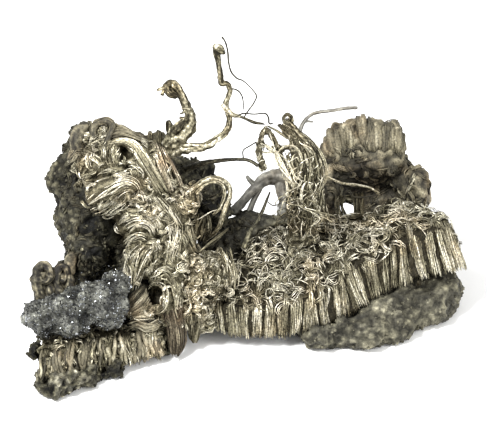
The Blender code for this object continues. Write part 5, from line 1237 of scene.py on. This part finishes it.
footTree = treeOf(cores["footCore"])
footLocks = {"count": 420, "points": 7, "length": (1.0, 2.4), "strands": (2, 4), "gap": 0.2, "curl": 0.9,
    "swirl": 2.0, "wild": 0.55, "lift": (0.3, 1.1), "sink": 0.1, "radius": (0.075, 0.12),
    "tone": (0.2, 0.95)}


def onFootTop(spot, normal):
    a, u, _ = sheetOf(spot)
    head = np.interp(a, [s[1][0] for s in footStations], [s[1][1] for s in footStations])
    return u > head - 0.9 or a > -19 or noise.noise(Vector((a * 0.9, u * 0.5, 3))) > 0.05


wires = WireSet("footLocks", 3)
growLocks(wires, cores["footCore"], footTree, footLocks, 51, onFootTop,
    [(-27, 5, 85, 3.5), (-22, 6, 100, 3.5), (-17, 7, 80, 3.0)])
wires.build(silverFinish)

stubTree = treeOf(cores["stubCore"])
# (across, up, how far in front of the stub, radius)
curls = [
    [(-28.3, 14.4, 0, 0.85), (-28.8, 15.8, 0.1, 0.8), (-29.05, 17.2, 0.2, 0.75), (-28.9, 18.5, 0.25, 0.72),
        (-28.1, 19.15, 0.3, 0.7), (-27.3, 18.6, 0.35, 0.66), (-27.1, 17.6, 0.4, 0.6),
        (-27.6, 16.9, 0.4, 0.5), (-28.3, 17, 0.3, 0.4), (-28.5, 17.6, 0.1, 0.34)],
    [(-25.3, 14.6, 0, 0.8), (-25.9, 15.8, 0.1, 0.72), (-26.2, 17.2, 0.2, 0.64), (-26, 18.5, 0.25, 0.6),
        (-25.4, 18.95, 0.3, 0.58), (-24.8, 18.5, 0.35, 0.56), (-24.6, 17.6, 0.4, 0.5),
        (-25, 16.9, 0.4, 0.4), (-25.5, 17.1, 0.2, 0.32)],
    [(-24.3, 14.6, 0, 0.7), (-24.2, 16.2, 0.1, 0.66), (-24.3, 17.6, 0.1, 0.5)],
    [(-27.2, 14.4, 0, 0.7), (-27.1, 15.4, 0.1, 0.66), (-27.2, 16.4, 0.2, 0.5)],
]
limb("stubCurls", [laidOut(route, stubTree, 6.5, 0.7) for route in curls], softFinish, "dull_silver", None,
    sides=18, perMm=6, flutes=2.6, fluteDepth=0.2, lumps=0.36, fine=0.2, tone=0.16)

blockTree = treeOf(cores["blockCore"])
blockLocks = {"count": 540, "behind": 0.35, "points": 7, "length": (1.6, 3.6), "strands": (2, 4),
    "gap": 0.24, "curl": 0.8, "swirl": 3.0, "wild": 0.5, "lift": (0.1, 0.5), "sink": 0.08,
    "radius": (0.08, 0.12), "tone": (0.1, 0.8)}


def offColumns(spot, normal):
    a, u, w = sheetOf(spot)
    return not (u > 35.4 and w < 29 and 11 < a < 23)


wires = WireSet("blockLocks", 3)
growLocks(wires, cores["blockCore"], blockTree, blockLocks, 33, offColumns)
comb(wires, [[(23.9, 32.2), (23.3, 31.0), (22.9, 29.9), (22.6, 28.8)],
    [(24.3, 32.0), (23.7, 30.8), (23.2, 29.7), (22.9, 28.8)]],
    {"strands": 4, "radius": 0.14, "tone": (0.9, 1.1)}, blockTree, 27.0)
wires.build(softFinish)


# tarnished wire that runs over the dark rock

leftRockTree = treeOf(cores["leftRock"])
rockLocks = {"count": 900, "points": 7, "length": (1.0, 2.6), "strands": (1, 4), "gap": 0.24, "curl": 0.8,
    "swirl": 2.5, "wild": 0.6, "lift": (0.0, 0.4), "sink": 0.12, "radius": (0.09, 0.15), "tone": (0.1, 0.5)}


def onRockFront(spot, normal):
    a, u, _ = sheetOf(spot)
    return -25.5 < a < -15 and 8 < u < 38 and Vector(normal).dot(toEye) > -0.2


wires = WireSet("rockLocks", 3)
growLocks(wires, cores["leftRock"], leftRockTree, rockLocks, 41, onRockFront)
wires.build(dullFinish)


def inHollow(spot, normal):
    a, u, _ = sheetOf(spot)
    return -8.5 < a < 0.5 and 19 < u < 33 and Vector(normal).dot(toEye) > -0.1


rightRockTree = treeOf(cores["rightRock"])
# the dark tone of these wires is painted shade in the hollow
hollowLocks = dict(rockLocks, count=1500, strands=(1, 3), lift=(0.1, 0.6), tone=(0.0, 0.42))
wires = WireSet("hollowLocks", 3)
growLocks(wires, cores["rightRock"], rightRockTree, hollowLocks, 42, inHollow)
growLocks(wires, cores["leftRock"], leftRockTree, hollowLocks, 43, inHollow)
wires.build(dullFinish)


# felt of curled wire on the band

bandTree = treeOf(cores["bandCore"])
# the under layer is dark, painted shade that shows in the gaps below the top strands
felt = {"under": {"count": 1250, "behind": 0.4, "points": 6, "length": (1.2, 2.6), "strands": (2, 5),
    "gap": 0.2, "curl": 0.8, "swirl": 2.6, "wild": 0.6, "lift": (0.1, 0.5), "sink": 0.1,
    "radius": (0.065, 0.095), "tone": (0.0, 0.22)}, "over": {"count": 2500, "behind": 0.25, "points": 9,
    "length": (1.8, 4.6), "strands": (1, 3), "gap": 0.34, "curl": 0.8, "swirl": 1.4, "wild": 1.0,
    "lift": (0.1, 1.2), "sink": 0.05, "radius": (0.056, 0.082), "tone": (0.3, 1.7)},
    "strays": {"count": 380, "behind": 0.5, "points": 11, "length": (2.2, 5.0), "strands": (1, 1),
    "gap": 0.2, "curl": 0.6, "swirl": 2.0, "wild": 1.0, "lift": (0.7, 1.4), "sink": 0.1,
    "radius": (0.055, 0.085), "tone": (0.8, 1.2)}}


def isBandTop(spot, normal):
    a, u, w = sheetOf(spot)
    head = np.interp(a, [s[1][0] for s in bandStations], [s[1][1] for s in bandStations])
    edge = 0.5 if a > 21 else -0.5 - 1.6 * noise.noise(Vector((a * 0.7, 2, 5)))
    if 9.5 < a < 17 and u > 24.9:  # below the small window
        return False
    # bare patches beside the hollow
    if a < 1.5 and u > 16.5 and noise.noise(Vector((a * 0.8, u * 0.8, 2))) > -0.12:
        return False
    return (normal[2] > 0.35 or normal[1] > 0.2) and (u > head + edge or w > 19)


wires = WireSet("feltUnder", 3)
growLocks(wires, cores["bandCore"], bandTree, felt["under"], 21, isBandTop)
wires.build(silverFinish)
wires = WireSet("swirl", 4)
comb(wires, [[(23.4, 26.4), (24.8, 25.5), (26.4, 25.8), (27.4, 26.8)],
    [(23.9, 24.8), (25.1, 24.2), (26.5, 24.6), (27.8, 25.6)]], {"strands": 24, "radius": 0.07, "bulge": 0.3,
    "tone": (0.35, 0.95), "wave": 1.0, "drift": 0.3}, bandTree, 17.0)
comb(wires, [[(22.2, 27.0), (22.6, 25.6), (22.9, 24.0), (23.1, 22.6)],
    [(22.9, 27.2), (23.3, 25.6), (23.5, 24.0), (23.6, 22.6)]], {"strands": 10, "radius": 0.07, "bulge": 0.3,
    "tone": (0.35, 0.95), "wave": 1.0, "drift": 0.3}, bandTree, 16.0)
wires.build(silverFinish)
wires = WireSet("feltOver", 3)
growLocks(wires, cores["bandCore"], bandTree, felt["over"], 22, isBandTop)
growLocks(wires, cores["bandCore"], bandTree, felt["strays"], 23, lambda spot,
    normal: isBandTop(spot, normal) and sheetOf(spot)[0] < 24)
wires.build(silverFinish)


# wires that cross the small window between the band and the block
windowWires = WireSet("windowWires", 4)
comb(windowWires, [[(14.9, 25.4, 22.0), (15.4, 26.4, 23.6), (15.5, 27.6, 26.0), (15.0, 29.4, 27.4)],
    [(16.9, 25.4, 22.0), (16.8, 26.8, 23.6), (16.7, 28.4, 26.0), (16.7, 29.4, 27.4)]],
    {"strands": 16, "radius": 0.12, "tone": (0.15, 0.5), "bulge": 0.2, "wave": 0.8, "points": 10,
    "ragged": 0.02})
comb(windowWires, [[(13.2, 28.9, 27.0), (14.6, 28.9, 27.2), (16.6, 29.0, 27.4)],
    [(13.2, 27.3, 26.8), (14.2, 28.0, 27.0), (15.2, 27.6, 27.0), (16.6, 27.0, 27.2)]],
    {"strands": 12, "radius": 0.12, "tone": (0.15, 0.45), "bulge": 0.2, "wave": 0.6, "points": 10,
    "ragged": 0.02})
comb(windowWires, [[(12.9, 28.9, 26.0), (12.8, 27.4, 25.2), (13.0, 25.6, 23.4)],
    [(14.3, 28.8, 26.2), (13.9, 27.5, 25.4), (14.5, 25.8, 23.6)]],
    {"strands": 14, "radius": 0.12, "tone": (0.15, 0.55), "bulge": 0.2, "wave": 0.8, "points": 10,
    "ragged": 0.02})
comb(windowWires, [[(9.2, 25.9, 21.2), (11.0, 26.1, 21.4), (13.0, 26.2, 21.6), (15.0, 25.9, 21.8),
    (17.0, 26.6, 22.0)], [(9.2, 24.4, 20.4), (11.0, 24.3, 20.6), (13.0, 24.2, 20.8), (15.0, 24.2, 21.0),
    (17.0, 24.4, 21.2)]], {"strands": 24, "radius": 0.17, "tone": (0.0, 0.35), "bulge": 0.3, "wave": 1.2,
    "points": 14, "ragged": 0.1, "drift": 0.3})
comb(windowWires, [[(9.6, 26.0, 20.6), (11.4, 26.5, 20.8), (13.2, 26.0, 21.0), (14.6, 26.3, 21.2),
    (16.8, 26.6, 21.4)], [(9.6, 24.2, 19.8), (11.4, 24.8, 20.0), (13.2, 24.0, 20.2), (14.6, 24.6, 20.4),
    (16.8, 24.2, 20.6)]], {"strands": 26, "radius": 0.075, "tone": (0.3, 1.1), "bulge": 0.4, "wave": 2.6,
    "points": 16, "ragged": 0.7, "drift": 0.8, "uneven": 0.4})
windowWires.build(silverFinish)


# tuft in the middle: ropes, a bright ribbon, arches and falling strands

# rope: (route, strands, spread, tone)
tuft = {
    "leftLeg": ([(3.2, 38.6, 12), (2.7, 37.6, 11.8), (2.2, 36.2, 11.8), (2.2, 34.8, 11.9), (2.6, 33.6, 12),
        (2.9, 32.7, 12.2)], 7, 0.34, (0.1, 0.85)),
    "leftTangle": ([(2.4, 36.2, 11.6), (3.3, 35.8, 11.6), (4.1, 35.2, 11.8), (4.9, 34.9, 12)], 5, 0.22,
        (0.6, 1)),
    "lowTangle": ([(2.6, 35, 11.8), (3.3, 34.9, 11.8), (4.2, 34.9, 12), (4.6, 34.6, 12.2)], 2, 0.12,
        (0.5, 0.9)),
    "thinLine": ([(3.3, 38.7, 12), (4.6, 38, 12), (5.8, 37.2, 12.2), (6.9, 36.5, 12.4)], 3, 0.12,
        (0.35, 0.6)),
    "leafLine": ([(3.4, 38.3, 12), (4.1, 37.4, 11.9), (4.6, 36.4, 11.9), (4.6, 35.4, 12)], 3, 0.14,
        (0.25, 0.45)),
    "brightLine": ([(3.6, 37.8, 11.8), (4, 36.6, 11.7), (4.3, 35.6, 11.8), (4.8, 34.4, 12)], 1, 0,
        (1, 1.1)),
    "ribbon": ([(4.5, 35.1, 11.8), (5, 33.7, 11.9), (5.7, 32.3, 12.1), (6.4, 31.1, 12.4), (7, 30.1, 12.8),
        (7.4, 29, 13.2)], 7, 0.42, (0.85, 1.1)),
    "ribbonLeft": ([(5.2, 33, 12), (5.8, 31.6, 12.2), (6.1, 30.3, 12.5), (6.3, 28.9, 13), (6.5, 27.4, 13.6),
        (6.2, 25.6, 14.4)], 2, 0.12, (0.8, 1.1)),
    "ribbonRight": ([(4.9, 34.9, 12), (6.1, 33.7, 12), (6.7, 32.5, 12.2), (7.3, 31, 12.5), (7.2, 29.6, 13)],
        2, 0.12, (0.7, 1)),
    "ringTip": ([(6.2, 39.3, 12), (5.75, 39.5, 11.9), (5.85, 40, 11.8), (6.25, 40.15, 11.9),
        (6.5, 39.7, 12), (6.3, 39.2, 12.1)], 2, 0.1, (0.2, 0.45)),
    "rope": ([(6.2, 39.4, 12), (6.8, 38.4, 12), (7.5, 37.4, 12.1), (8.3, 36.6, 12.2), (9.1, 35.6, 12.4),
        (9.9, 34.4, 12.7), (10.4, 33, 13)], 8, 0.36, (0.02, 0.8)),
    "lobes": ([(4.9, 38.9, 12), (5.6, 38.2, 11.9), (6.4, 37.4, 12), (7.1, 36.7, 12.2)], 6, 0.34, (0, 0.65)),
    "upperLobe": ([(5.5, 38.9, 11.9), (6.2, 38.4, 11.8), (6.9, 37.6, 11.9), (7.6, 37, 12.1)], 4, 0.2,
        (0.05, 0.75)),
    "arch": ([(4.9, 35, 12), (5.6, 35.7, 11.9), (6.6, 35.9, 11.9), (7.4, 35.5, 12), (8, 34.6, 12.1),
        (8.3, 33.5, 12.3)], 4, 0.2, (0.6, 1)),
    "outline": ([(7.6, 37.8, 12.3), (8.8, 37.1, 12.6), (10, 35.9, 12.9), (10.9, 34.4, 13.1),
        (11.4, 32.9, 13.3), (11.5, 31.5, 13.5), (11.1, 30.2, 13.8), (10.6, 28.9, 14.2), (10.2, 27.6, 14.8)],
        6, 0.3, (0.55, 1)),
    "panel": ([(7.9, 36.8, 12.2), (8.9, 35.7, 12.3), (9.7, 34.5, 12.5)], 6, 0.5, (0.75, 0.95)),
    "pointedLeft": ([(8.8, 30.9, 12.2), (8.3, 30, 12.2), (8.1, 28.6, 12.4), (8.3, 27.2, 12.9)], 3, 0.16,
        (0.85, 1.1)),
    "pointedRight": ([(8.8, 30.9, 12.2), (9.4, 30, 12.3), (9.7, 28.7, 12.7), (10.1, 27.2, 13.2)], 2, 0.12,
        (0.7, 1)),
    "fork": ([(11.2, 30.6, 13.6), (10.7, 29.6, 13.6), (10.2, 28.4, 13.8), (10.4, 27, 14.2),
        (11, 25.8, 14.6)], 3, 0.16, (0.8, 1.1)),
    "innerA": ([(7.6, 35.2, 12.2), (7, 34.2, 12.4), (6.8, 33, 12.4), (7.4, 32, 12.5)], 3, 0.2, (0.45, 0.8)),
    "innerB": ([(7, 35.2, 12.5), (7.6, 34.2, 12.4), (8.2, 33.4, 12.3), (8, 32.2, 12.4)], 3, 0.2,
        (0.4, 0.8)),
    "innerC": ([(8.6, 34.8, 12.2), (9, 33.4, 12.3), (9.6, 32.2, 12.5), (9.8, 30.8, 12.8)], 3, 0.2,
        (0.45, 0.85)),
    "innerD": ([(6.6, 35, 12.6), (6.2, 34.4, 12.7), (6.6, 33.8, 12.6), (7.2, 34.1, 12.5)], 2, 0.12,
        (0.4, 0.7)),
}
tuftLoose = WireSet("tuftRopes", 4)
rnd = random.Random(31)
for route, strands, spread, tones in tuft.values():
    path = smoothPath(route, 26)
    t = np.linspace(0, 1, 26)
    strands = strands if strands < 2 else int(strands * 1.7)
    for k in range(strands):
        turn, twist = 2 * math.pi * k / max(strands, 1) + rnd.uniform(-0.3, 0.3), rnd.uniform(1.5, 3.5)
        shift = spread * (1 if k % 3 else 0.5) * (0.45 + 0.55 * np.sin(math.pi * t)) * rnd.uniform(0.5, 1.1)
        line = path.copy()
        line[:, 0] += shift * np.cos(turn + twist * t)
        line[:, 1] += shift * 0.7 * np.cos(turn + twist * t + 0.6)
        line[:, 2] += shift * np.sin(turn + twist * t)
        light = rnd.uniform(*tones)
        thick = rnd.uniform(0.08, 0.13) * mm * (1 - 0.3 * np.abs(2 * t - 1) ** 3)
        tuftLoose.add(np.array([seen(*p) for p in line]), thick, light * (0.8 + 0.2 * np.sin(math.pi * t)),
            None, rnd.uniform(1, 1.3), 1.0)
# the curved skin of the sheaf, and strands that cross it and fall into the felt
skins = [
    ([[(7.4, 35.8, 12.6), (7.9, 33.6, 12.6), (8, 31.4, 12.8), (8, 29, 13.2), (8.3, 26.4, 14.2),
        (8.6, 24.2, 15.2)], [(7.6, 37.4, 12.5), (9.4, 35.2, 12.3), (10, 32.6, 12.4), (9.8, 30.4, 12.9),
        (9.6, 27.6, 13.6), (10.4, 24.6, 15)], [(7.8, 37.9, 12.8), (10.3, 35.6, 12.9), (11.5, 32.6, 13.4),
        (11.3, 30.6, 13.8), (10.8, 28, 14.2), (12, 25.2, 15.2)]],
        {"strands": 36, "radius": 0.085, "bulge": 0.3, "points": 18, "tone": (0, 0.62), "wave": 1.4,
        "ridge": 0.7, "top": 0.5, "ragged": 0.3, "dark": 0.5, "drift": 0.5}),
    ([[(5, 35, 12.4), (5.9, 32.4, 12.6), (6.2, 30, 13), (6.1, 27.2, 13.8), (5.2, 24.6, 15)],
        [(7.4, 35.6, 12.7), (7.7, 33, 12.8), (7.6, 30.4, 13), (7.8, 27.4, 13.8), (8, 24.2, 15.2)]],
        {"strands": 18, "radius": 0.085, "bulge": 0.3, "points": 16, "tone": (0, 0.62), "wave": 1.5,
        "ridge": 0.7, "top": 0.5, "ragged": 0.3, "dark": 0.5, "drift": 0.5}),
]
skins.append(([[(8.2, 29.4, 12.8), (8.6, 27.6, 13.4), (8.8, 25.8, 14.4), (8.6, 24.2, 15.2)],
    [(10.0, 29.6, 12.9), (10.4, 27.8, 13.4), (11.0, 25.8, 14.4), (11.6, 24.4, 15.4)],
    [(11.2, 29.8, 13.8), (11.3, 28.0, 14.2), (12.0, 26.0, 15.0), (13.2, 24.8, 15.8)]],
    {"strands": 36, "radius": 0.08, "bulge": 0.2, "points": 14, "tone": (0.05, 0.95), "wave": 1.8,
    "ridge": 0.8, "top": 0.6, "ragged": 0.35, "dark": 0.4, "drift": 0.7}))
for rails, spec in skins:
    comb(tuftLoose, rails, spec)
for k in range(150):
    high = rnd.uniform(25.5, 35.0)
    a = rnd.uniform(5.8 + max(0, high - 30) * 0.25, 11.2)
    fall = rnd.uniform(0.8, 3.0)
    drift = rnd.gauss(0, 1.2)
    back = 12.0 + rnd.uniform(-0.1, 0.8)
    bow = rnd.gauss(0, 0.8)
    route = []
    for j in range(5):
        t = j / 4
        u = high - fall * t
        sunk = max(0, 27 - u) * 0.4 + abs(2 * t - 1) ** 2 * 0.6
        side = a + drift * t + bow * math.sin(math.pi * t) + rnd.uniform(-0.15, 0.15)
        edge = np.interp(u, [26.5, 29.0, 31.5, 34.4], [10.9, 10.6, 11.3, 10.7]) - k % 7 * 0.12
        route.append((min(side, edge) if u > 26.5 else side, u, back + sunk))
    path = smoothPath(route, 12)
    tuftLoose.add(np.array([seen(*p) for p in path]), rnd.uniform(0.055, 0.085) * mm,
        0.15 + 1.1 * rnd.random() ** 1.6)
tuftLoose.build(silverFinish)
tip = {
    "ring": [(6.5, 39, 12, 0.3), (5.8, 39.2, 11.9, 0.26), (5.6, 39.8, 11.9, 0.24), (6.1, 40.3, 11.9, 0.24),
        (6.7, 40, 12, 0.26), (6.8, 39.3, 12, 0.3)],
    "rope": [(6.2, 39.2, 12.1, 0.4), (7, 38.3, 12.1, 0.5), (7.8, 37.4, 12.2, 0.52), (8.6, 36.5, 12.3, 0.45),
        (9.4, 35.4, 12.5, 0.34)],
    "lobe": [(5, 38.8, 12, 0.24), (5.6, 38.3, 11.9, 0.34), (6.3, 37.5, 12, 0.36), (7.2, 36.8, 12.2, 0.26)],
}
limb("tuftTip", list(tip.values()), silverFinish, "silver", None, sides=16, perMm=7, flutes=2.6,
    fluteDepth=0.3, lumps=0.3, fine=0.2, tone=0.1)
tuftTree = treeOf(cores["tuftCore"])
tuftLocks = {"count": 420, "behind": 0.5, "points": 8, "length": (1.0, 2.6), "strands": (1, 3), "gap": 0.18,
    "curl": 1.0, "swirl": 2.0, "wild": 0.5, "lift": (0.05, 0.32), "sink": 0.05, "radius": (0.05, 0.08),
    "tone": (0.15, 1.1)}
wires = WireSet("tuftLocks", 3)
growLocks(wires, cores["tuftCore"], tuftTree, tuftLocks, 61, None, [(9, 32, -80, 4.0), (6, 30, -70, 3.0)])
wires.build(silverFinish)


# sparkle on the crust: small bright facets

def chips(name, obj, count, size, material, seed, keep=None):
    rng = np.random.default_rng(seed)
    spots, normals = surfaceSpots(obj, count, rng, keep)
    verts, quads = [], []
    for spot, normal in zip(spots, normals):
        turn = Matrix.Rotation(rng.uniform(0, 6.3), 3, Vector(rng.normal(size=3)).normalized())
        big = rng.uniform(*size) * mm
        shape = np.array([rng.uniform(0.6, 1.4) for _ in range(3)]) * big
        base = len(verts)
        for x in (-1, 1):
            for y in (-1, 1):
                for z in (-1, 1):
                    verts.append(np.array(turn @ Vector((x * shape[0], y * shape[1], z * shape[2]))) + spot
                        + normal * big * 0.3)
        for face in ((0, 1, 3, 2), (4, 6, 7, 5), (0, 4, 5, 1), (2, 3, 7, 6), (0, 2, 6, 4), (1, 5, 7, 3)):
            quads.append([base + i for i in face])
    places = np.array(verts)
    places[:, 2] = np.maximum(places[:, 2], 0)
    obj = meshObject(name, places, np.array(quads), material)
    obj.data.polygons.foreach_set("use_smooth", np.zeros(len(quads), bool))
    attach(obj, "root")
    print(f"{name}: {triangles(obj)} triangles")


sparkleFinish, shader, node, link = startMaterial("sulphideFacets")
place = node("ShaderNodeTexCoord").outputs["Object"]
patches = node("ShaderNodeTexNoise", {"Vector": place, "Scale": 900.0, "Detail": 2.0}).outputs["Fac"]
link(ramp(node, patches, [(0.42, (0.05, 0.052, 0.054)), (0.55, (0.12, 0.125, 0.13)),
    (0.66, (0.6, 0.62, 0.64))]), shader.inputs["Base Color"])
shader.inputs["Metallic"].default_value = 0.9
shader.inputs["Roughness"].default_value = 0.2
chips("crustFacets", cores["crust"], 1900, (0.04, 0.1), sparkleFinish, 4)


def onRockFace(spot, normal):
    return Vector(normal).dot(toEye) > -0.3


chips("rockGrains", cores["leftRock"], 2800, (0.06, 0.17), darkRockFinish, 7, onRockFace)
chips("greyGrains", cores["rightRock"], 1300, (0.06, 0.16), greyRockFinish, 17, onRockFace)
for name in ("rockGrains", "greyGrains"):
    grains = bpy.data.objects[name].data
    setNumbers(grains, "tone", np.repeat(np.random.default_rng(2).uniform(0.3, 1.1,
        len(grains.vertices) // 8), 8))


def besideCrust(spot, normal):
    a, u, _ = sheetOf(spot)
    return Vector(normal).dot(toEye) > 0 and -25 < a < -14.5 and 14 < u < 19.5 + 0.1 * a + 1.8


chips("rockFacets", cores["leftRock"], 9000, (0.05, 0.12), sparkleFinish, 6, besideCrust)


# floor, light and camera

stageLook = {"floor": (0.93, 0.93, 0.92), "world": 0.9, "key": 3.0, "fill": 1.1}

floorMaterial, floorShader = startMaterial("paleFloor")[:2]
floorShader.inputs["Base Color"].default_value = (*stageLook["floor"], 1)
floorShader.inputs["Roughness"].default_value = 0.9
floorMesh = bpy.data.meshes.new("floor")
side = 3.0
floorMesh.from_pydata([(-side, -side, 0), (side, -side, 0), (side, side, 0), (-side, side, 0)], [],
    [(0, 1, 2, 3)])
floorMesh.materials.append(floorMaterial)
floor = bpy.data.objects.new("floor", floorMesh)
scene.collection.objects.link(floor)
floor.location.z = -0.0002

world = bpy.data.worlds.new("studio")
scene.world = world
world.use_nodes = True
world.node_tree.nodes["Background"].inputs["Color"].default_value = (1, 1, 1, 1)
world.node_tree.nodes["Background"].inputs["Strength"].default_value = stageLook["world"]


def areaLight(name, place, size, power):
    data = bpy.data.lights.new(name, "AREA")
    data.shape = "DISK"
    data.size = size
    data.energy = power
    lamp = bpy.data.objects.new(name, data)
    scene.collection.objects.link(lamp)
    lamp.location = place
    lamp.rotation_euler = (Vector((0, 0, 0.01)) - Vector(place)).to_track_quat("-Z", "Y").to_euler()


areaLight("keyLight", (-0.18, -0.16, 0.34), 0.12, stageLook["key"])
areaLight("fillLight", (0.3, -0.2, 0.2), 0.25, stageLook["fill"])

cameraData = bpy.data.cameras.new("camera")
cameraData.sensor_width = 36
cameraData.lens = 36 * sheet["eyeDistance"] / (487 * sheet["pixel"])
cameraData.clip_start = 0.01
camera = bpy.data.objects.new("camera", cameraData)
scene.collection.objects.link(camera)
camera.location = seen(0, 26.04, 0) + toEye * sheet["eyeDistance"] * mm
camera.rotation_mode = "QUATERNION"
camera.rotation_quaternion = (-toEye).to_track_quat("-Z", "Y")
scene.camera = camera
scene.view_settings.view_transform = "Standard"
